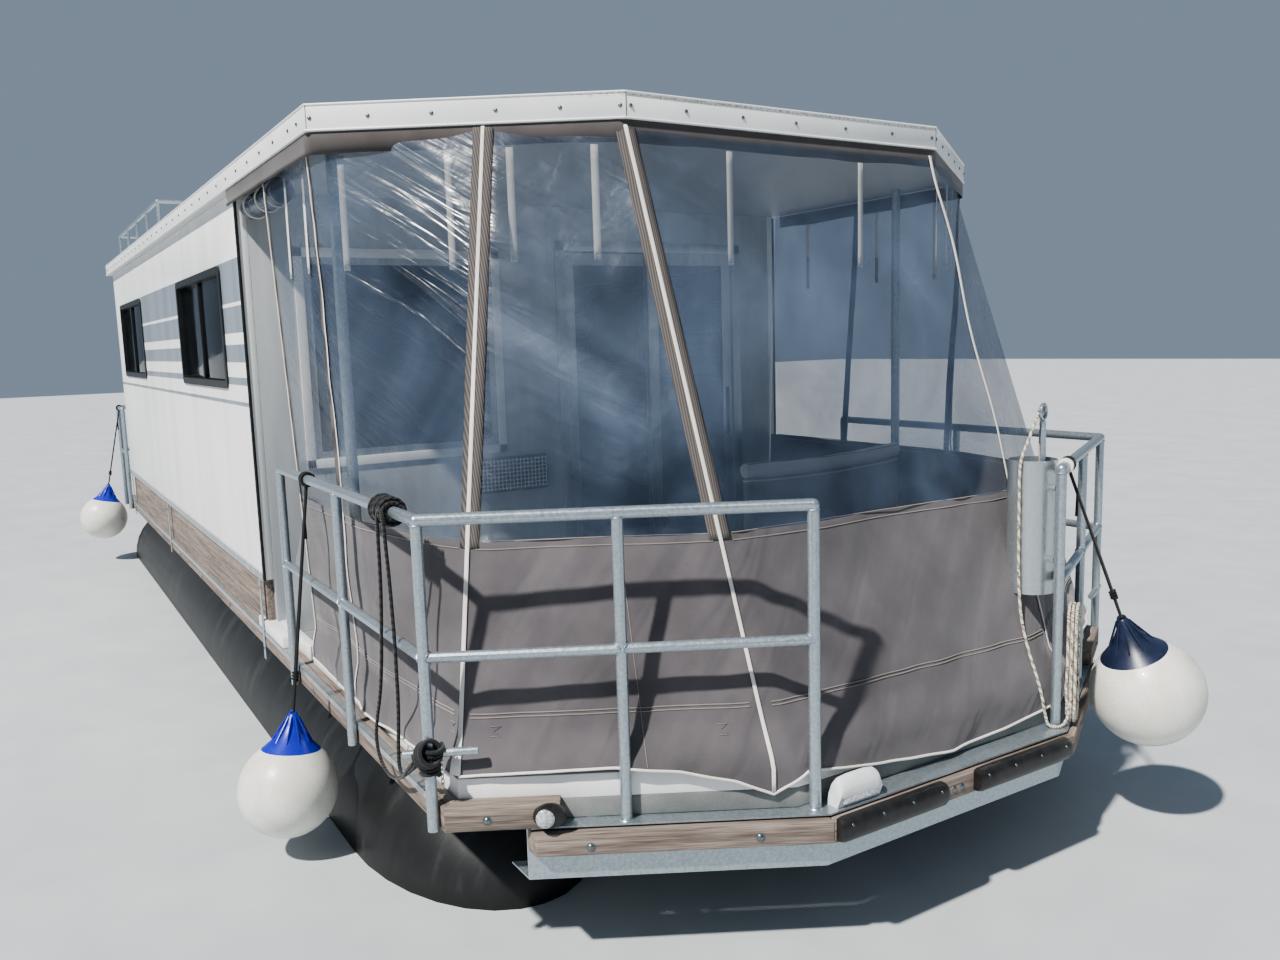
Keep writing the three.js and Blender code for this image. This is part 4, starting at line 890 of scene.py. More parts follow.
def plan_point(panel, s, t):
    """A point in plan at s along the panel and t down it, with its corners eased towards the foot."""
    lines = TENT_PANELS[panel][0]
    steps = [0.0]
    for a, b in zip(lines, lines[1:]):
        steps.append(steps[-1] + math.dist(a[1], b[1]))
    knots = [v / steps[-1] for v in steps]
    ease = 0.07 * (0.25 + 0.75 * t) * min(1.0, s / 0.1, (1 - s) / 0.1)
    total = Vector((0, 0))
    for shift, weight in ((-ease, 0.25), (0, 0.5), (ease, 0.25)):
        value = clamp(s + shift)
        i = max(k for k in range(len(lines) - 1) if knots[k] <= value + 1e-9)
        share = (value - knots[i]) / (knots[i + 1] - knots[i])
        top, foot = [Vector(a).lerp(Vector(b), share) for a, b in zip(lines[i], lines[i + 1])]
        total += weight * top.lerp(foot, t)
    return total


def tent_point(panel, s, z, lift=0.0, still=False):
    """A point of the tent's outer face at s across and height z, lifted off it by lift."""
    t = down(z)
    step = 0.004
    along = (plan_point(panel, min(1, s + step), t) - plan_point(panel, max(0, s - step), t)).normalized()
    place = plan_point(panel, s, t).to_3d() + UP * z
    clear = clamp((0.86 - z) / 0.09)
    push = lift + 0.026 * clear
    if not still:
        push += fold(panel, s, z, place)
    if clear:
        push = max(push, 0.024 * clear + lift)  # outside the coaming, never in it
    return place + Vector((along.y, -along.x, 0)) * push


def fold(panel, s, z, place):
    """How far the sheet is pushed outwards at a point. z is its height unrounded, to tell cloth from vinyl."""
    x, y, h = place
    held = min(1.0, s / 0.10, (1 - s) / 0.10) * min(1.0, (TENT_TOP_Z - z) / 0.25)
    held = held * held * (3 - 2 * held)
    if z > SEAM_Z:
        crinkle = wavering(x * 2.6 + h * 1.5, y * 2.6, h * 0.9)
        small = wavering(x * 9 + h * 4, y * 9, h * 3.5 + 7)
        pull = math.exp(-(((place - PULLED_FROM).length / 0.75) ** 2))
        ridges = wavering(place.dot(CREASE_ALONG) * 1.4, place.dot(CREASE_ACROSS) * 9, 5)
        return held * (0.014 * crinkle + 0.004 * small) + min(1.0, s / 0.04, (1 - s) / 0.04) * 0.010 * pull * ridges
    slack = wavering(x * 2.2 - h * 2.5, y * 2.2 + h * 1.6, h * 1.1 + 3)
    drag = wavering(x * 3, (y * 0.77 - h * 0.64) * 7, (y * 0.64 + h * 0.77) * 1.4)
    crumple = wavering(x * 7, y * 7 + h * 5, h * 6 + 11)
    drag_share = 0.022 if panel == "front" else 0.008
    return held * (0.018 * slack + drag_share * drag + (0.002 + 0.011 * clamp((1.05 - z) / 0.3)) * crumple + 0.006)


print(len(TENT_PANELS), "tent panels planned")

# %% [markdown]
# A panel is a grid of points on that surface, vinyl above the seam and cloth below it.

# %% Tent panels
PANEL_COLUMNS = {"side_starboard": 120, "bow_starboard": 64, "front": 80, "bow_port": 56, "side_port": 90}
VINYL_ROWS, CLOTH_ROWS = 84, 44


def tent_panel(panel, columns):
    grid = []
    for s in [i / columns for i in range(columns + 1)]:
        foot = hem_z(panel, s)
        heights = [TENT_TOP_Z + (SEAM_Z - TENT_TOP_Z) * r / VINYL_ROWS for r in range(VINYL_ROWS)]
        heights += [SEAM_Z + (foot - SEAM_Z) * r / CLOTH_ROWS for r in range(CLOTH_ROWS + 1)]
        grid.append([tent_point(panel, s, z) for z in heights])
    sheet = gather("tent_" + panel + "_sheet", [lofted(grid)], [vinyl, tent_cloth])
    sheet.data.polygons.foreach_set("material_index", ([0] * VINYL_ROWS + [1] * CLOTH_ROWS) * columns)
    settle(sheet, stands_for=["tent_" + panel])


for panel, columns in PANEL_COLUMNS.items():
    tent_panel(panel, columns)

# %% [markdown]
# What runs over the sheets gives the tent its lines: ribbed grey webbing with a white zip at two corners,
# a white tape with no webbing at the port front, zips up the sides, a white piping along the hem, and
# sewn lines. Each is a strip or a thin tube laid over the same surface function, a few millimetres out.

# %% Zips, piping and seams
def strip(name, rows, material):
    """A thin band from rows of points, each row running across it."""
    return settle(thickened(gather(name, [lofted(rows)], material)))


def width_s(panel, z, width):
    """The share of s that a width in metres takes at a height."""
    return width / max(0.05, length_of([plan_point(panel, k / 8, down(z)) for k in range(9)]))


def going_down(low_z, steps):
    """Heights from the tent's top down to low_z, each with its share of the way."""
    return [(r / steps, TENT_TOP_Z + (low_z - TENT_TOP_Z) * r / steps) for r in range(steps + 1)]


def corner_band(name, before, after, half, low_z, material, lift):
    """A band folded round the corner where one panel ends and the next begins."""
    rows = []
    for _, z in going_down(low_z, 60):
        row = [tent_point(before, 1 - share * width_s(before, z, half), z, lift) for share in (1.0, 0.5, 0.12)]
        row += [tent_point(after, share * width_s(after, z, half), z, lift) for share in (0.12, 0.5, 1.0)]
        rows.append(row)
    strip(name, rows, material)


def upright_band(name, panel, s_top, s_foot, half, low_z, material, lift):
    rows = []
    for share, z in going_down(low_z, 50):
        s, reach = s_top + (s_foot - s_top) * share, width_s(panel, z, half)
        rows.append([tent_point(panel, s + k * reach, z, lift) for k in (-1, 0, 1)])
    strip(name, rows, material)


RIB_PITCH = 0.008
WEBBING_LOW_Z = SEAM_Z - 0.02
webbing = Finish("ribbed_webbing_taupe")
ribs = webbing.wave(WAVE_PERIOD_AT_1 / RIB_PITCH, "Y")
rib_tones = webbing.ramp(ribs, (0.2, "#4A4644"), (0.8, "#6C6663"))
ribbed = webbing.shade(Base_Color=rib_tones, Roughness=0.85, Normal=webbing.bump(ribs, 0.001, 0.6))

CORNER_ZIPS = [
    # name, panel before, panel after, foot height
    ("zip_starboard_side", "side_starboard", "bow_starboard", 0.745),
    ("zip_starboard_front", "bow_starboard", "front", 0.640),
]
for name, before, after, low_z in CORNER_ZIPS:
    corner_band(name + "_webbing", before, after, 0.040, WEBBING_LOW_Z, ribbed, 0.003)
    corner_band(name + "_tape", before, after, 0.0065, low_z, white_tape, 0.0055)

wavy = []
for _, z in going_down(0.650, 90):
    sway = 0.016 * math.sin(z * 8.0) * min(1.0, (TENT_TOP_Z - z) / 0.2, (z - 0.60) / 0.3)
    metre = width_s("front", z, 1.0)
    wavy.append([tent_point("front", 0.984 + (sway + k) * metre, z, 0.006) for k in (-0.009, 0.0, 0.009)])
strip("zip_port_front_tape", wavy, white_tape)

SIDE_ZIPS = [
    # name, panel, s at the top, s at the foot
    ("zip_starboard_door", "side_starboard", 0.012, 0.010),
    ("zip_starboard_window", "side_starboard", 0.475, 0.39),
    ("zip_port_window", "side_port", 0.32, 0.36),
    ("zip_port_door", "side_port", 0.68, 0.71),
]
for name, panel, s_top, s_foot in SIDE_ZIPS:
    upright_band(name + "_webbing", panel, s_top, s_foot, 0.022, WEBBING_LOW_Z, ribbed, 0.003)
    upright_band(name + "_tape", panel, s_top, s_foot, 0.006, 0.72, white_tape, 0.005)

SEWN_LINES = [SEAM_Z + 0.002, SEAM_Z - 0.024, 0.927, 0.915]
SEAM_LIFT = 0.0012
piping, seams = [], []
for panel, columns in PANEL_COLUMNS.items():
    shares = [i / columns for i in range(columns + 1)]
    piping.append(swept([tent_point(panel, s, hem_z(panel, s), 0.002) for s in shares], 0.005, 8))
    for z in SEWN_LINES:
        seams.append(swept([tent_point(panel, 0.03 + 0.94 * s, z, SEAM_LIFT) for s in shares], 0.0022, 6))
upright = [tent_point("bow_starboard", 0.60, SEAM_Z - (SEAM_Z - 0.75) * i / 40, SEAM_LIFT) for i in range(41)]
seams.append(swept(upright, 0.0016, 6))
sewn_thread = cloth("sewn_seam_taupe", "#77706C", "#958E89", 3.0)
settle(gather("tent_hem_piping", piping, white_tape))
settle(gather("tent_sewn_seams", seams, sewn_thread))

BAR_TACKS = [("side_starboard", 0.965, 0.873), ("bow_starboard", 0.115, 0.871), ("bow_starboard", 0.865, 0.850)]
ZIGZAG = [(-0.018, 0.016), (0.018, 0.016), (-0.010, 0.0), (0.018, -0.016), (-0.018, -0.016)]
tacks = []
for panel, s, z in BAR_TACKS:
    tacks.append(swept([tent_point(panel, s + width_s(panel, z, a), z + b, 0.002) for a, b in ZIGZAG], 0.0014, 6))
settle(gather("tent_bar_tacks", tacks, sewn_thread))
print("zips, piping and", len(seams), "sewn lines")

# %% [markdown]
# White tie straps hang plumb from the top of the panels, inside the tent, each with an eyelet near its
# end. A short valance hangs under the roof's edge and waves a little along its lower hem; its cloth is
# painted darker as shade under the roof's edge.

# %% Tie straps and valance
STRAPS = [
    # panel, s, length
    ("side_starboard", 0.20, 0.42),
    ("side_starboard", 0.38, 0.42),
    ("side_starboard", 0.60, 0.43),
    ("side_starboard", 0.90, 0.44),
    ("bow_starboard", 0.18, 0.42),
    ("bow_starboard", 0.76, 0.42),
    ("front", 0.29, 0.44),
    ("front", 0.72, 0.44),
    ("bow_port", 0.24, 0.42),
    ("bow_port", 0.82, 0.42),
    ("side_port", 0.10, 0.43),
    ("side_port", 0.40, 0.43),
    ("side_port", 0.60, 0.42),
    ("side_port", 0.86, 0.42),
]
STRAP_HALF = 0.014
STRAP_INSET = 0.014
STRAP_TOP_Z = TENT_TOP_Z - 0.08
STRAP_STEPS = 8
EYELET = [(0.0, 0.0), (0.004, 0.0), (0.005, 0.003), (0.009, 0.0035), (0.0105, 0.0), (0.0, -0.001)]
straps, eyelets = [], []
for panel, s, long in STRAPS:
    half = width_s(panel, STRAP_TOP_Z, STRAP_HALF)
    hung_from = [tent_point(panel, s + k * half, STRAP_TOP_Z, -STRAP_INSET, still=True) for k in (-1, 1)]
    rows = [[corner - UP * (long * r / STRAP_STEPS) for corner in hung_from] for r in range(STRAP_STEPS + 1)]
    straps.append(lofted(rows))
    centre = (rows[-1][0] + rows[-1][1]) / 2 + UP * 0.018
    out = (tent_point(panel, s, STRAP_TOP_Z, 0.1) - tent_point(panel, s, STRAP_TOP_Z)).normalized()
    eyelets.append(turned(EYELET, centre, out, 12))
settle(thickened(gather("tent_tie_straps", straps, white_tape)))
settle(gather("tent_strap_eyelets", eyelets, anodised))

ROOF_CORNERS = [(1.79, 1.804), (3.400, 1.804), (4.089, 0.818)]
VALANCE_TOP_Z, VALANCE_DROP, VALANCE_INSET = 2.979, 0.078, 0.003
VALANCE_STEPS_A_METRE = 24
valance_path = [Vector((x, -y, VALANCE_TOP_Z)) for x, y in ROOF_CORNERS]
valance_path += [Vector((x, y, VALANCE_TOP_Z)) for x, y in reversed(ROOF_CORNERS)]
rows = []
for a, b in zip(valance_path, valance_path[1:]):
    along = (b - a).normalized()
    count = max(2, int((b - a).length * VALANCE_STEPS_A_METRE))
    for k in range(count):
        top = a.lerp(b, (k + 0.5) / count) + Vector((-along.y, along.x, 0)) * VALANCE_INSET
        drop = VALANCE_DROP + 0.008 * wavering(top.x * 4, top.y * 4, 0.5)
        rows.append([top, top - UP * drop * 0.5, top - UP * drop])
# the valance's darker cloth is painted shade under the roof's edge
strip("tent_valance", rows, cloth("woven_acrylic_painted_shade", "#3C3836", "#565150"))
print(len(STRAPS), "straps and a valance of", round(length_of([row[0] for row in rows]), 2), "m")

# %% [markdown]
# The side door of the tent is rolled up under the roof. A rolled sheet is a spiral with a little slack
# between its turns, a shade thicker where it bulges between its ties.

# %% Rolled door
DOOR_LOW, DOOR_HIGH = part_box("tent_door_roll")
DOOR_COLUMNS, DOOR_STEPS, DOOR_TURNS = 50, 96, 3.4
TIE_PINCH_X = (1.98, 2.22, 2.42)
TIE_X = (1.97, 2.23, 2.43)
door_y, door_z = (DOOR_LOW.y + DOOR_HIGH.y) / 2, (DOOR_LOW.z + DOOR_HIGH.z) / 2
rows = []
for i in range(DOOR_COLUMNS + 1):
    x = DOOR_LOW.x + (DOOR_HIGH.x - DOOR_LOW.x) * i / DOOR_COLUMNS
    pinch = max(math.exp(-(((x - tie_x) / 0.035) ** 2)) for tie_x in TIE_PINCH_X)
    row = []
    for turn in [k / DOOR_STEPS for k in range(DOOR_STEPS + 1)]:
        angle = turn * 2 * math.pi * DOOR_TURNS
        radius = (0.022 + 0.040 * turn) * (1 - 0.14 * pinch) + 0.0012 * wavering(x * 14, angle, 2)
        row.append(Vector((x, door_y + radius * math.cos(angle), door_z + radius * math.sin(angle))))
    rows.append(row)
roll = gather("tent_door_rolled_sheet", [lofted(rows)], rolled_vinyl)
settle(roll, stands_for=["tent_door_roll"])
ties = []
for x in TIE_X:
    tie = wound((x, door_y, door_z), (1, 0, 0), 1, 0.0615, 0.0, 24)
    ties.append(swept(tie[:-1], 0.0045, 8, closed=True))
settle(gather("tent_door_roll_ties", ties, white_tape))

# %% [markdown]
# A ball fender is blown from thick soft vinyl: a heavy teardrop with a solid ribbed cone and an eye at
# its top. Its rope is hitched round the rail. The ball is turned from a smooth profile, and the ribs are
# small tapered fins set round the cone.

# %% Fenders
fender_white = grained("blown_vinyl_white", "#D8D6CB", "#EDECE6", 120, 6, 0.15, 0.38, Coat_Weight=0.15)
fender_blue = grained("blown_vinyl_blue", "#17229A", "#2433B4", 80, 5, 0.1, 0.35)
fender_navy = grained("blown_vinyl_navy", "#1B2233", "#2B3550", 80, 5, 0.1, 0.35)
PORT_RAIL_AT, PORT_RAIL_ALONG = (4.832, 0.784, RAIL_TOP_Z), (-0.47, 0.883, 0)
FENDERS = [
    # node, ball middle, hitch middle on the rail, rail direction, ball radius, cone finish
    ("fender_starboard_bow", (3.050, -1.978, 0.312), (2.950, -RAIL_HALF, 1.620), (1, 0, 0), 0.208, fender_blue),
    ("fender_starboard_stern", (-4.780, -2.030, 0.470), (-4.800, -RAIL_HALF, 1.620), (1, 0, 0), 0.225, fender_blue),
    ("fender_port_bow", (4.980, 1.155, 0.627), PORT_RAIL_AT, PORT_RAIL_ALONG, 0.230, fender_navy),
]
HITCH_RADIUS = 0.030
RIBS = 10
LINE_RADIUS = 0.0055


def fender_ball(middle, lift, radius):
    """The ball, then the cone, its ribs and its eye. All sizes go with the ball's radius."""
    ball = [(0.0, -radius)]
    for k in range(1, 25):
        angle = -math.pi / 2 + math.pi * k / 30
        ball.append((radius * math.cos(angle), radius * math.sin(angle)))
    wide, start = ball[-1]
    cone = [(0.0, start), (wide * 1.004, start)]
    for share in (0.25, 0.5, 0.75, 1.0):
        cone.append((radius * (0.10 + 0.48 * (1 - share) ** 1.6), start + radius * 0.70 * share))
    cone += [(radius * 0.07, radius * 1.54), (0.0, radius * 1.54)]
    shapes = [turned(ball + [(0.0, start)], middle, lift, 40), turned(cone, middle, lift, 40)]
    side, other = square_to(lift)
    for angle in angles(RIBS):
        away = bearing(angle, side, other)
        low = middle + lift * radius * 0.98 + away * radius * 0.40
        high = middle + lift * radius * 1.48 + away * radius * 0.115
        shapes.append(swept([low, low.lerp(high, 0.5), high], radius * 0.016, 6))
    eye = []
    for angle in angles(12):
        rise = 1.54 + 0.05 * math.sin(angle)
        eye.append(middle + lift * radius * rise + side * radius * 0.06 * math.cos(angle))
    return shapes + [swept(eye, radius * 0.03, 8, closed=True)]


def fender_line(eye, line_top, hitch, rail_axis, outward, lift):
    """Two strands from the eye to the rail, the hitch round the rail, a knot and a loose tail."""
    shapes = []
    for offset in (-0.007, 0.007):
        beside = rail_axis * offset
        route = [eye + beside, eye.lerp(line_top, 0.3) + beside * 1.6, eye.lerp(line_top, 0.75) + beside]
        shapes.append(swept(route + [line_top + beside], LINE_RADIUS, 8))
    shapes.append(swept(wound(hitch - rail_axis * 0.020, rail_axis, 3, 0.0275, 0.0133), 0.0058, 8))
    shapes.append(swept(wound(eye.lerp(line_top, 0.16) - lift * 0.02, lift, 3, 0.011, 0.013), LINE_RADIUS, 8))
    tail = line_top.lerp(eye, 0.12)
    route = [line_top + outward * 0.006, tail + outward * 0.02, tail + outward * 0.012 - UP * 0.10]
    return shapes + [swept(route, LINE_RADIUS, 8)]


for name, middle, hitch, rail_axis, radius, cone_finish in FENDERS:
    middle, hitch, rail_axis = Vector(middle), Vector(hitch), Vector(rail_axis).normalized()
    outward = -(middle - hitch).cross(rail_axis).cross(rail_axis).normalized()
    line_top = hitch + outward * HITCH_RADIUS
    lift = (line_top - middle).normalized()
    marks = [0] + [1] * (RIBS + 2)
    ball = gather(name + "_ball", fender_ball(middle, lift, radius), [fender_white, cone_finish], marks)
    settle(ball, stands_for=[name])
    line = fender_line(middle + lift * radius * 1.56, line_top, hitch, rail_axis, outward, lift)
    settle(gather(name + "_line", line, wound_braid))

RAIL_TAPE = [(0.0, 0.0), (0.022, 0.0), (0.031, 0.003), (0.032, 0.022), (0.029, 0.040), (0.022, 0.044), (0.0, 0.044)]
tape_axis = Vector(PORT_RAIL_ALONG).normalized()
tape = turned(RAIL_TAPE, Vector(PORT_RAIL_AT) - tape_axis * 0.075, tape_axis, 24)
settle(gather("rail_end_tape", [tape], white_tape))
print(len(FENDERS), "fenders with their lines")

# %% [markdown]
# Windows: a black frame with rounded corners around a smoked pane that slides in two halves, and a pale
# blind just below the top. A frame is an outline with a hole, pushed out and rounded, so one maker does
# all the windows and both sliding doors.

# %% Windows
def frame_ring(width, height, border, depth, corner=0.03, segments=5):
    """A flat ring with rounded corners, about the origin, wide along X, tall along Z, deep along Y."""
    outlines = []
    for inset, r in ((0, corner), (border, corner * 0.5)):
        half_w, half_h = width / 2 - inset - r, height / 2 - inset - r
        outline = []
        for cx, cz, start in ((1, 1, 0), (-1, 1, 90), (-1, -1, 180), (1, -1, 270)):
            for k in range(segments + 1):
                angle = math.radians(start + 90 * k / segments)
                outline.append((cx * half_w + r * math.cos(angle), cz * half_h + r * math.sin(angle)))
        outlines.append(outline)
    count = len(outlines[0])
    verts = [Vector((x, y, z)) for y in (-depth / 2, depth / 2) for outline in outlines for x, z in outline]
    front_out, front_in, back_out, back_in = 0, count, 2 * count, 3 * count
    faces = []
    for k in range(count):
        n = (k + 1) % count
        faces.append((front_out + k, front_out + n, front_in + n, front_in + k))
        faces.append((back_out + n, back_out + k, back_in + k, back_in + n))
        faces.append((front_out + n, front_out + k, back_out + k, back_out + n))
        faces.append((front_in + k, front_in + n, back_in + n, back_in + k))
    return verts, faces


def pane(width, height, margin, half_depth=0.003):
    """A thin sheet about the origin, smaller than an opening by a margin on every side."""
    half_w, half_h = width / 2 - margin, height / 2 - margin
    return block((-half_w, -half_depth, -half_h), (half_w, half_depth, half_h), 0.001)


WINDOW_W, WINDOW_H, WINDOW_Z = 1.560, 0.650, 2.310
WALL_FACE_Y = 1.755
WINDOWS = [
    # node, middle x, side
    ("window_starboard_fore", 0.440, -1),
    ("window_starboard_aft", -3.195, -1),
    ("window_port_fore", 0.0, 1),
    ("window_port_aft", -3.195, 1),
]
blind_cloth = cloth("pleated_blind_ivory", "#B9B6AC", "#D8D5CB", 12.0)
half_w, half_h = WINDOW_W / 2, WINDOW_H / 2
LAYERS = [
    # shape, distance in from the wall's face
    (frame_ring(WINDOW_W + 0.036, WINDOW_H + 0.036, 0.042, 0.022, 0.045), 0.0),
    (frame_ring(WINDOW_W - 0.012, WINDOW_H - 0.012, 0.020, 0.044, 0.035), 0.024),
    (block((-0.018, -0.012, -half_h + 0.03), (0.018, 0.010, half_h - 0.03)), 0.012),
    (pane(WINDOW_W, WINDOW_H, 0.02), 0.020),
    (block((-half_w + 0.03, -0.002, half_h - 0.075), (half_w - 0.03, 0.002, half_h - 0.022), 0.001), 0.030),
]
for node, x, side in WINDOWS:
    shapes = [moved(shape, Matrix.Translation((x, side * (WALL_FACE_Y - depth), WINDOW_Z))) for shape, depth in LAYERS]
    made = gather(node + "_glazed", shapes, [black_frame, smoked_glass, blind_cloth], [0, 0, 0, 1, 2])
    settle(made, stands_for=[node])

FRONT_WINDOW = 1.100  # its width and its height
QUARTER_TURN = Matrix.Rotation(math.pi / 2, 4, "Z")
front_at = Matrix.Translation((1.760, -0.900, 2.120)) @ QUARTER_TURN
front_shapes = [frame_ring(FRONT_WINDOW - 0.004, FRONT_WINDOW - 0.004, 0.045, 0.05, 0.02)]
front_shapes.append(pane(FRONT_WINDOW, FRONT_WINDOW, 0.03, 0.004))
shapes = [moved(shape, front_at) for shape in front_shapes]
made = gather("window_front_glazed", shapes, [anodised, smoked_glass], [0, 1])
settle(made, stands_for=["window_front"])
print(len(WINDOWS) + 1, "windows")

# %% [markdown]
# The front doorway has two glazed leaves in aluminium frames. One is fixed to the hull, and the other
# slides behind it, so it rides on its own body.

# %% Sliding door leaves
LEAF_MIDDLE_Z = 1.680
LEAVES = [
    # node, body, x, middle y, width, height
    ("front_door_fixed_leaf", "hull", 1.773, 1.0567, 0.660, 2.079),
    ("front_door_leaf", "front_door", 1.747, 0.459, 0.660, 2.068),
]
for node, body, x, y, width, height in LEAVES:
    put_at = Matrix.Translation((x, y, LEAF_MIDDLE_Z)) @ QUARTER_TURN
    surround = frame_ring(width, height, 0.075, 0.020, 0.006)
    grip = block((width / 2 - 0.052, -0.0125, -0.16), (width / 2 - 0.022, 0.0, 0.16))
    shapes = [moved(shape, put_at) for shape in (surround, pane(width, height, 0.07), grip)]
    made = gather(node + "_glazed", shapes, [anodised, door_glass, rubber], [0, 1, 2])
    settle(made, body, [node])
print(len(LEAVES), "door leaves")

# %% [markdown]
# The bow carries two rubber bumpers, screwed to the front timber. They are a D section whose ends are
# rubbed round, so the section shrinks a little over the last few centimetres.

# %% Rubber bumpers
BUMPER_STATIONS = [0.0, 0.012, 0.03, 0.2, 0.5, 0.8, 0.97, 0.988, 1.0]
BUMPER_SCREW = [(0.0, 0.004), (0.004, 0.0035), (0.007, 0.0), (0.0, -0.002)]
bumper_screws = []
for node in ("bow_bumper_starboard", "bow_bumper_port"):
    low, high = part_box(node)
    size, middle_z = high - low, (low.z + high.z) / 2
    rows = []
    for share in BUMPER_STATIONS:
        y = low.y + size.y * share
        full = 0.86 + 0.14 * min(1.0, min(share, 1 - share) * size.y / 0.016)
        half = full * size.z / 2
        row = [Vector((low.x, y, middle_z - half))]
        for k in range(15):
            angle = -math.pi / 2 + math.pi * k / 14
            x = low.x + 0.004 + full * (size.x - 0.004) * abs(math.cos(angle)) ** 0.7
            row.append(Vector((x, y, middle_z + half * math.sin(angle))))
        rows.append(row + [Vector((low.x, y, middle_z + half))])
    bumper = gather(node + "_moulded", [lofted(rows, around=True, flip=True)], rubber)
    settle(bumper, stands_for=[node])
    for share in (0.08, 0.36, 0.64, 0.92):
        screw_at = (high.x - 0.006, low.y + size.y * share, high.z - 0.022)
        bumper_screws.append(turned(BUMPER_SCREW, screw_at, (0.8, 0, 0.6), 10))
settle(gather("bumper_screws", bumper_screws, stainless))
print("bumpers with", len(bumper_screws), "screws")

# %% [markdown]
# Two lamps stand at the bow. The white one on the ledge is a half drum with a flat sloping glass. The
# black one on the starboard timber is a small navigation light: an oval rubber body with a round lens.

# %% Lamps
LAMP_STATIONS = [0.0, 0.03, 0.1, 0.3, 0.5, 0.7, 0.9, 0.97, 1.0]
LIGHT_SIDES = 32
lamp_white = grained("moulded_white_plastic", "#DADDDD", "#EDEFEF", 60, 4, 0.05, 0.4)
low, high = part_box("ledge_lamp")
size = high - low
rows = []
for share in LAMP_STATIONS:
    y = low.y + size.y * share
    rounded = math.sqrt(max(0.0, 1 - abs(2 * share - 1) ** 6)) * 0.35 + 0.65
    row = []
    for k in range(13):
        angle = math.pi * (0.16 + 0.84 * k / 12)
        x = (low.x + high.x) / 2 + 0.004 + size.x / 2 * 0.92 * math.cos(angle)
        row.append(Vector((x, y, low.z + 0.002 + size.z * 0.97 * rounded * math.sin(angle) ** 0.75)))
    rows.append(row + [Vector((low.x + 0.004, y, low.z)), Vector((high.x - 0.020, y, low.z))])
housing = gather("ledge_lamp_housing", [lofted(rows, around=True)], lamp_white)
settle(housing, stands_for=["ledge_lamp"])
glass_at = Matrix.Translation((high.x - 0.021, (low.y + high.y) / 2, low.z + 0.048))
glass_turn = glass_at @ Matrix.Rotation(math.radians(-20), 4, "Y")
glass = block((-0.004, -0.080, -0.036), (0.004, 0.080, 0.036), 0.003, glass_turn)
settle(gather("ledge_lamp_glass", [glass], lens))

swept_out = Vector((math.cos(SWEEP), -math.sin(SWEEP), 0))
swept_fore = Vector((math.sin(SWEEP), math.cos(SWEEP), 0))
light_at = Vector((4.512, -1.470, 0.622))
rows = []
for depth, shrink in ((0.0, 1.0), (0.018, 1.0), (0.030, 0.9), (0.034, 0.72)):
    centre = light_at + swept_fore * 0.014 + swept_out * depth
    rows.append(hoop(centre, swept_fore * 0.056, UP * 0.040, shrink, LIGHT_SIDES))
lens_profile = [(0.0, 0.0), (0.032, 0.0), (0.031, 0.008), (0.022, 0.015), (0.0, 0.018)]
light_lens = turned(lens_profile, light_at + swept_out * 0.030, swept_out, 24)
bow_light = gather("bow_light_body", [lofted(rows, around=True), light_lens], [rubber, lens], [0, 1])
settle(bow_light)
print("lamps ready")

# %% [markdown]
# The bench on the terrace is upholstered: a seat pad, a back pad and a rolled blanket. A cover is sewn a
# little smaller than its foam, so it swells between its seams. A cloth simulation makes that shape: a
# rounded box gets an even mesh, pressure blows it up with no gravity, and no point may move further than
# a cap. Piping is laid on the finished surface afterwards, because the even mesh would lose it.

# %% Bench pads
PAD_CELL = 0.010
PAD_INSET = 0.010
PAD_PRESSURE = 4.0
PAD_FRAMES = 20
PAD_LOW_Z = 0.934


def evened(piece):
    """The piece with a fresh mesh of even cells, as cloth needs."""
    remesh = piece.modifiers.new("even_cells", "REMESH")
    remesh.mode = "VOXEL"
    remesh.voxel_size = PAD_CELL
    bpy.context.view_layer.update()
    graph = bpy.context.evaluated_depsgraph_get()
    piece.data = bpy.data.meshes.new_from_object(piece.evaluated_get(graph))
    piece.modifiers.clear()


def blown(piece, cap):
    """Swells the piece under pressure and keeps each point within cap of where it was."""
    rest = [vert.co.copy() for vert in piece.data.vertices]
    cover = piece.modifiers.new("cover", "CLOTH")
    cover.settings.quality = 5
    cover.settings.use_pressure = True
    cover.settings.uniform_pressure_force = PAD_PRESSURE
    cover.settings.effector_weights.gravity = 0
    cover.point_cache.frame_end = PAD_FRAMES
    for number in range(1, PAD_FRAMES + 1):
        bpy.context.scene.frame_set(number)
    graph = bpy.context.evaluated_depsgraph_get()
    swollen = [vert.co.copy() for vert in piece.evaluated_get(graph).data.vertices]
    piece.modifiers.clear()
    bpy.context.scene.frame_set(1)
    for vert, old, new in zip(piece.data.vertices, rest, swollen):
        move = new - old
        vert.co = old + move * min(1.0, cap / max(1e-9, move.length))


def piped(piece, low, high, z):
    """A piping tube that follows the piece's side at a height."""
    corners = [((low.x, low.y, z), 10), ((high.x, low.y, z), 24), ((high.x, high.y, z), 10), ((low.x, high.y, z), 24)]
    points = []
    for (a, steps), (b, _) in zip(corners, corners[1:] + corners[:1]):
        for k in range(steps):
            points.append(piece.closest_point_on_mesh(Vector(a).lerp(Vector(b), k / steps))[1])
    return swept(points, 0.004, 8, closed=True)


def pad(name, low, high, material, cap):
    inset = Vector((PAD_INSET,) * 3)
    piece = gather(name, [block(low + inset, high - inset, 0.022)], material)
    evened(piece)
    blown(piece, cap)
    coated(piece.data, material)
    piece.data.polygons.foreach_set("use_smooth", [True] * len(piece.data.polygons))
    smooth = piece.modifiers.new("smooth", "SUBSURF")
    smooth.levels = smooth.render_levels = 1
    settle(piece)
    return piece


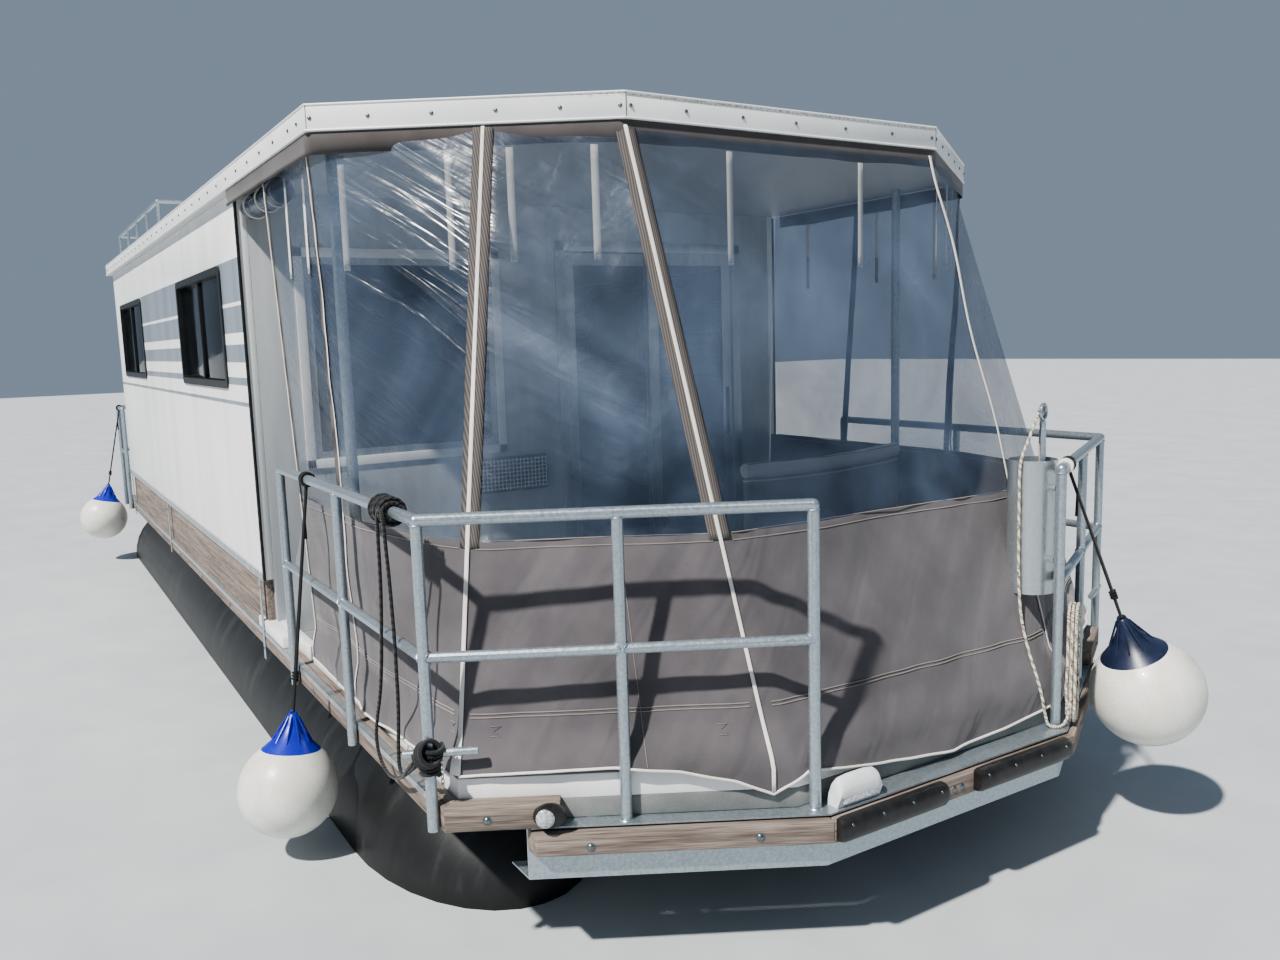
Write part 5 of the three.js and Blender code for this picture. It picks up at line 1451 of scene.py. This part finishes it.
low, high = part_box("terrace_bench")
bench_base = block((3.150, low.y + 0.01, low.z), (3.690, high.y - 0.01, 0.930), 0.008)
settle(gather("bench_locker", [bench_base], enamel), stands_for=["terrace_bench"])
seat_corners = Vector((3.214, low.y, PAD_LOW_Z)), Vector((3.700, high.y, 1.060))
back_corners = Vector((3.140, low.y, PAD_LOW_Z)), Vector((3.212, high.y, 1.424))
seat_pad = pad("bench_seat_pad", *seat_corners, seat_cloth, 0.012)
back_pad = pad("bench_back_pad", *back_corners, seat_cloth, 0.009)
bpy.context.view_layer.update()
edgings = [piped(seat_pad, *seat_corners, z) for z in (0.958, 1.036)]
print("two pads and", len(edgings), "edgings")

# %% [markdown]
# A rolled blanket lies on top of the back pad. It sags in the middle and is a little higher on the port
# side. The pad's top edge and its piping are moved up to meet it, so that nothing floats.

# %% Rolled blanket
ROLL_RADIUS = 0.040
ROLL_X = 3.176
ROLL_FROM, ROLL_LONG = 0.396, 1.128
ROLL_STEPS, ROLL_SIDES = 40, 24
ROLL_END_SHARES = [0.002, 0.006, 0.012, 0.019]
BACK_TOP, BACK_FIXED = 1.408, 1.200


def roll_height(share):
    """The height of the blanket's centre at a share of its length."""
    return 1.503 - 0.028 * (1 - share) - 0.022 * math.sin(math.pi * share)


def under_roll(point):
    """Where a point of the back pad goes, so that its top follows the blanket."""
    rise = roll_height((point[1] - ROLL_FROM) / ROLL_LONG) - ROLL_RADIUS + 0.003 - BACK_TOP
    return point + UP * (rise * max(0.0, (point[2] - BACK_FIXED) / (BACK_TOP - BACK_FIXED)))


def roll_point(share, turn, lift=0.0):
    """A point on the rolled blanket's surface, which is rounded off at both ends."""
    end = min(share, 1 - share) * ROLL_LONG / 0.022
    rounded = math.sqrt(max(0.0, 1 - (1 - min(1.0, end)) ** 2))
    radius = (ROLL_RADIUS - 0.0015 * math.sin(9 * share * math.pi)) * rounded + lift
    y, z = ROLL_FROM + ROLL_LONG * share, roll_height(share)
    return Vector((ROLL_X + radius * math.cos(turn), y, z + radius * math.sin(turn)))


edging_verts, edging_faces = piped(back_pad, *back_corners, 1.400)
edgings.append(([under_roll(vert) for vert in edging_verts], edging_faces))
settle(gather("bench_piping", edgings, white_tape))
for vert in back_pad.data.vertices:
    vert.co = under_roll(vert.co)

first, last = ROLL_END_SHARES[-1], 1 - ROLL_END_SHARES[-1]
shares = ROLL_END_SHARES + [first + (last - first) * k / ROLL_STEPS for k in range(1, ROLL_STEPS)]
shares += [1 - share for share in reversed(ROLL_END_SHARES)]
rows = [[roll_point(share, -turn) for turn in angles(ROLL_SIDES)] for share in shares]
bolster = gather("bench_bolster_roll", [lofted(rows, around=True)], white_tape)
flap = swept([roll_point(share, 1.05 + 0.25 * math.sin(5 * share), 0.0015) for share in shares[3:-3]], 0.0028, 6)
settle(gather("bench_roll_seam", [flap], seat_cloth))
settle(bolster)
print("rolled blanket ready")

# %% [markdown]
# Trim joins the panels and sheds water. The roof's edge has a white sheet with small domed screws at a
# real spacing, a fine dark joint at each corner, and a drip lip along its top and its foot.

# %% Roof edge trim
SCREW_PITCH = 0.26
FASCIA_Z = 3.030
STERN_X = -4.550
SCREW_DOME = [(0.0, 0.0055), (0.004, 0.0048), (0.0075, 0.002), (0.008, 0.0), (0.0, -0.001)]
roof_outline = [(STERN_X, -1.804)] + [(x, -y) for x, y in ROOF_CORNERS[1:]]
roof_outline += [*reversed(ROOF_CORNERS[1:]), (STERN_X, 1.804), (STERN_X, -1.804)]
screws, joints, lips = [], [], []
for a, b in zip(roof_outline, roof_outline[1:]):
    a, b = Vector((*a, 0)), Vector((*b, 0))
    along = (b - a).normalized()
    out = Vector((along.y, -along.x, 0))
    count = max(3, round((b - a).length / SCREW_PITCH))
    for k in range(count + 1):
        place = a.lerp(b, min(0.985, max(0.015, k / count)))
        screws.append(turned(SCREW_DOME, place + UP * FASCIA_Z + out * 0.0005, out, 12))
    joints.append(swept([a + along * 0.004 + out * 0.0006 + UP * z for z in (2.986, 3.078)], 0.0012, 6))
    for z, off, radius in ((2.986, 0.001, 0.0045), (3.079, 0.0005, 0.004)):
        lips.append(swept([end + out * off + UP * z for end in (a, b)], radius, 8))
settle(gather("roof_edge_screws", screws, stainless))
settle(gather("roof_edge_joints", joints, black_frame))
settle(gather("roof_edge_lips", lips, enamel))
print(len(screws), "screws on the roof edge")

# %% [markdown]
# The wall's forward corner has a black gasket with studs. A thin aluminium angle runs along the wall's
# foot and another along the timber below it, and three galvanised straps hold the wall down.

# %% Wall corner and foot trim
WALL_TOP_Z, WALL_FOOT_Z = 2.970, 0.955
CORNER_X = 1.784
STUDS, STUD_PITCH = 14, 0.145
HOLD_DOWNS = [(1.690, 0.500), (-1.780, 0.540), (-4.300, 0.540)]  # middle x, foot height
trims, gaskets, studs, straps = [], [], [], []
for side in (-1, 1):
    y, edge = side * 1.7575, side * 1.7625
    gaskets.append(swept([(CORNER_X, y, WALL_FOOT_Z), (CORNER_X, y, WALL_TOP_Z)], 0.008, 10))
    for k in range(STUDS):
        studs.append(turned(SCREW_DOME, (1.766, y, WALL_FOOT_Z + 0.08 + k * STUD_PITCH), (0, side, 0), 10))
    trims.append(beam((-4.495, CORNER_X), (y, y + side * 0.010), (0.948, 0.986), 0.002))
    trims.append(beam((-4.500, 4.240), (edge, side * 1.7320), (0.6553, 0.6580), 0.0008))
    trims.append(beam((-4.500, 4.240), (edge, edge - side * 0.002), (0.630, 0.658), 0.0008))
    for x, low_z in HOLD_DOWNS:
        face = edge + side * 0.005
        straps.append(beam((x - 0.02, x + 0.02), (edge, face), (low_z, WALL_FOOT_Z), 0.0015))
        studs += [turned(SCREW_DOME, (x, face, z), (0, side, 0), 10) for z in (low_z + 0.06, 0.90)]
settle(gather("wall_corner_gaskets", gaskets, rubber))
settle(gather("wall_trim_angles", trims, anodised))
settle(gather("wall_hold_down_straps", straps, galvanised))
settle(gather("wall_trim_studs", studs, stainless))
print(len(trims), "angles and", len(straps), "straps")

# %% [markdown]
# The timbers are bolted on. At the bow each bolt has a dome head and a washer, along the sides only the
# head shows, one a metre, and two more heads sit at the middle of the front timber.

# %% Bolts on the timbers
BOLT_DOME = [(0.0, 0.007), (0.006, 0.006), (0.011, 0.003), (0.013, 0.0), (0.0, -0.001)]
WASHER = [(0.0, 0.0022), (0.0155, 0.0018), (0.016, 0.0), (0.0, -0.001)]
BOW_BOLTS = [(4.594, 1.349, 0.505), (4.875, 0.857, 0.512), (4.410, 1.637, 0.606)]
SIDE_BOLTS = 9
bolts = []
for side in (-1, 1):
    out = Vector((math.cos(SWEEP), side * math.sin(SWEEP), 0))
    for x, y, z in BOW_BOLTS:
        place = Vector((x, side * y, z)) + out * 0.0005
        bolts += [turned(BOLT_DOME, place + out * 0.0015, out, 14), turned(WASHER, place, out, 14)]
    for k in range(SIDE_BOLTS):
        bolts.append(turned(BOLT_DOME, (-4.30 + k * 1.0, side * 1.7605, 0.595), (0, side, 0), 14))
for y in (-0.06, -0.02):
    bolts.append(turned(BOLT_DOME, (5.0005, y, 0.516), (1, 0, 0), 14))
settle(gather("timber_bolts", bolts, stainless))
print(len(bolts), "bolt heads and washers")

# %% [markdown]
# Tube rails are welded where they meet. A weld is a small uneven ring of metal, so each joint gets a
# collar whose radius wavers, and each post at the bow has one round its foot.

# %% Rail welds
RAIL_R = 0.021
RAIL_MID_Z = 1.164
LEDGE_Z = 0.5705
BOW_POSTS_FROM_X = 4.4
WELD_SIDES = 18
RAIL_PLAN = [(2.454, 1.783), (3.387, 1.783), (4.300, 1.783), (4.6035, 1.213), (4.907, 0.643)]
AHEAD, ASIDE = Vector((1, 0, 0)), Vector((0, 1, 0))


def saddle_weld(post, along, seed):
    """The uneven ring where a rail meets a post, on the post's round face."""
    across = Vector((-along.y, along.x, 0))
    points = []
    for k, angle in enumerate(angles(WELD_SIDES)):
        radius = RAIL_R * (1 + 0.05 * wavering(post.x * 9 + k, *seed))
        depth = math.sqrt(max(0.0, RAIL_R**2 - (RAIL_R * math.cos(angle)) ** 2 * 0.98))
        place = post + along * (depth + 0.001) + across * radius * math.cos(angle)
        points.append(place + UP * (RAIL_MID_Z + radius * math.sin(angle)))
    return swept(points, 0.0028, 6, closed=True)


welds = []
for side in (-1, 1):
    posts = [Vector((x, side * y, 0)) for x, y in RAIL_PLAN]
    for i, post in enumerate(posts):
        for other in posts[max(0, i - 1) : i] + posts[i + 1 : i + 2]:
            welds.append(saddle_weld(post, (other - post).normalized(), (side, i)))
    for post in posts:
        collar = hoop(post + UP * (RAIL_TOP_Z - RAIL_R * 0.75), AHEAD, ASIDE, RAIL_R * 1.01, WELD_SIDES)
        welds.append(swept(collar, 0.0026, 6, closed=True))
        if post.x > BOW_POSTS_FROM_X:
            foot = hoop(post + UP * LEDGE_Z, AHEAD, ASIDE, 0.023, WELD_SIDES)
            welds.append(swept(foot, 0.004, 6, closed=True))
settle(gather("rail_welds", welds, galvanised))
print(len(welds), "welds")

# %% [markdown]
# Behind the vinyl the cabin's front wall shows, white with painted shade that makes it light grey, with
# aluminium door posts, a white surround round its window, and a lattice grille for the heater's air. At the boarding
# gap there is a small step.

# %% Front wall fittings
FRONT_FACE_X = 1.7855
DOOR_TRIM = [(1.390, 1.455, 0.66, 2.78), (0.060, 0.120, 0.66, 2.78), (0.060, 1.455, 2.722, 2.78)]
WINDOW_TRIM = [
    # y from, y to, z from, z to
    (-1.49, -1.44, 1.53, 2.71),
    (-0.36, -0.31, 1.53, 2.71),
    (-1.49, -0.31, 2.66, 2.71),
    (-1.49, -0.31, 1.53, 1.58),
]


def on_front(y0, y1, z0, z1, thick):
    return block((FRONT_FACE_X, y0, z0), (FRONT_FACE_X + thick, y1, z1))


settle(gather("front_door_trim", [on_front(*row, 0.012) for row in DOOR_TRIM], anodised))
settle(gather("front_window_trim", [on_front(*row, 0.010) for row in WINDOW_TRIM], enamel))
bars = []
for y in [-0.525 + 0.0245 * k for k in range(20)]:
    bars.append(swept([(FRONT_FACE_X + 0.016, y, z) for z in (1.302, 1.488)], 0.003, 6))
for z in [1.312 + 0.0238 * k for k in range(8)]:
    bars.append(swept([(FRONT_FACE_X + 0.018, y, z) for y in (-0.535, -0.060)], 0.003, 6))
backing = on_front(-0.545, -0.050, 1.290, 1.500, 0.014)
grille = gather("front_air_grille", [backing] + bars, [black_frame, enamel], [0] + [1] * len(bars))
settle(grille)
step = block((1.560, -1.7595, 0.6590), (2.120, -1.690, 0.7180), 0.006)
settle(gather("boarding_step", [step], enamel))
print("front wall fittings ready")

# %% [markdown]
# The stern door is a plain enamelled leaf with a round porthole. The porthole rides on the door's body,
# so that it swings with the leaf.

# %% Stern door
coated(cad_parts["stern_door_leaf"].data, enamel)
PORTHOLE_AT = (-4.4565, 0.790, 2.290)
RIM = [(0.098, 0.0), (0.118, -0.012), (0.146, -0.006), (0.150, 0.010), (0.098, 0.010), (0.098, 0.0)]
PORT_PANE = [(0.0, 0.0), (0.112, 0.0), (0.112, 0.004), (0.0, 0.004)]
shapes = [turned(profile, PORTHOLE_AT, (1, 0, 0), 40) for profile in (RIM, PORT_PANE)]
porthole = gather("stern_door_porthole", shapes, [black_frame, smoked_glass], [0, 1])
settle(porthole, "stern_door")
print("stern door ready")

# %% [markdown]
# The outboard motor's cowl is a moulded shell over the engine. It is drawn as rounded sections stacked
# from the tray up, each a superellipse, which is squarer than an ellipse and softer than a box. A rubber
# seal runs round its foot, with air slots at the back and a grip on top.

# %% Motor cowl
COWL_X, COWL_HALF = -5.2725, (0.157, 0.154)
COWL_SECTIONS = [
    # height, scale
    (0.834, 0.90),
    (0.846, 0.985),
    (0.880, 1.0),
    (0.905, 1.0),
    (0.915, 1.02),
    (1.020, 1.03),
    (1.120, 1.01),
    (1.165, 0.985),
    (1.184, 0.94),
    (1.196, 0.80),
    (1.203, 0.45),
]
GRIP_ROUTE = [(-5.36, 1.196), (-5.35, 1.222), (-5.31, 1.232), (-5.25, 1.232), (-5.21, 1.222), (-5.20, 1.196)]


def cowl_ring(z, scale):
    points = []
    for angle in angles(48):
        x, y = [math.copysign(abs(part) ** 0.4, part) for part in (math.cos(angle), math.sin(angle))]
        points.append(Vector((COWL_X + COWL_HALF[0] * scale * x, COWL_HALF[1] * scale * y, z)))
    return points


shell = lofted([cowl_ring(z, scale) for z, scale in COWL_SECTIONS], around=True)
grip = swept([(x, 0, z) for x, z in GRIP_ROUTE], 0.011, 12)
latch = block((-5.1130, -0.020, 0.880), (-5.1060, 0.020, 0.945))
seal = swept(cowl_ring(0.910, 1.012), 0.005, 8, closed=True)
slots = [block((-5.4385, y - 0.012, 1.02), (-5.4320, y + 0.012, 1.12)) for y in (-0.07, -0.035, 0.0, 0.035, 0.07)]
shapes = [shell, grip, latch, seal] + slots
cowl = gather("motor_cowl_shell", shapes, [lacquer, rubber], [0, 0, 0, 1] + [1] * len(slots))
settle(cowl, "motor")
print("cowl of", len(shell[0]), "points")

# %% [markdown]
# A short chain hangs from the mooring crossbar. Each link is an oval ring, turned a quarter from the
# one above it.

# %% Chain on the crossbar
CHAIN_LINKS, LINK_PITCH = 7, 0.0165
chain = []
for k in range(CHAIN_LINKS):
    flat = Vector((0.8, 0.6, 0)) if k % 2 else Vector((-0.6, 0.8, 0))
    oval = hoop(Vector((4.318, -1.748, 0.822 - LINK_PITCH * k)), flat * 0.0060, UP * 0.0112, 1.0, 14)
    chain.append(swept(oval, 0.0019, 6, closed=True))
settle(gather("crossbar_chain", chain, zinc_sheet))
print(len(chain), "chain links")
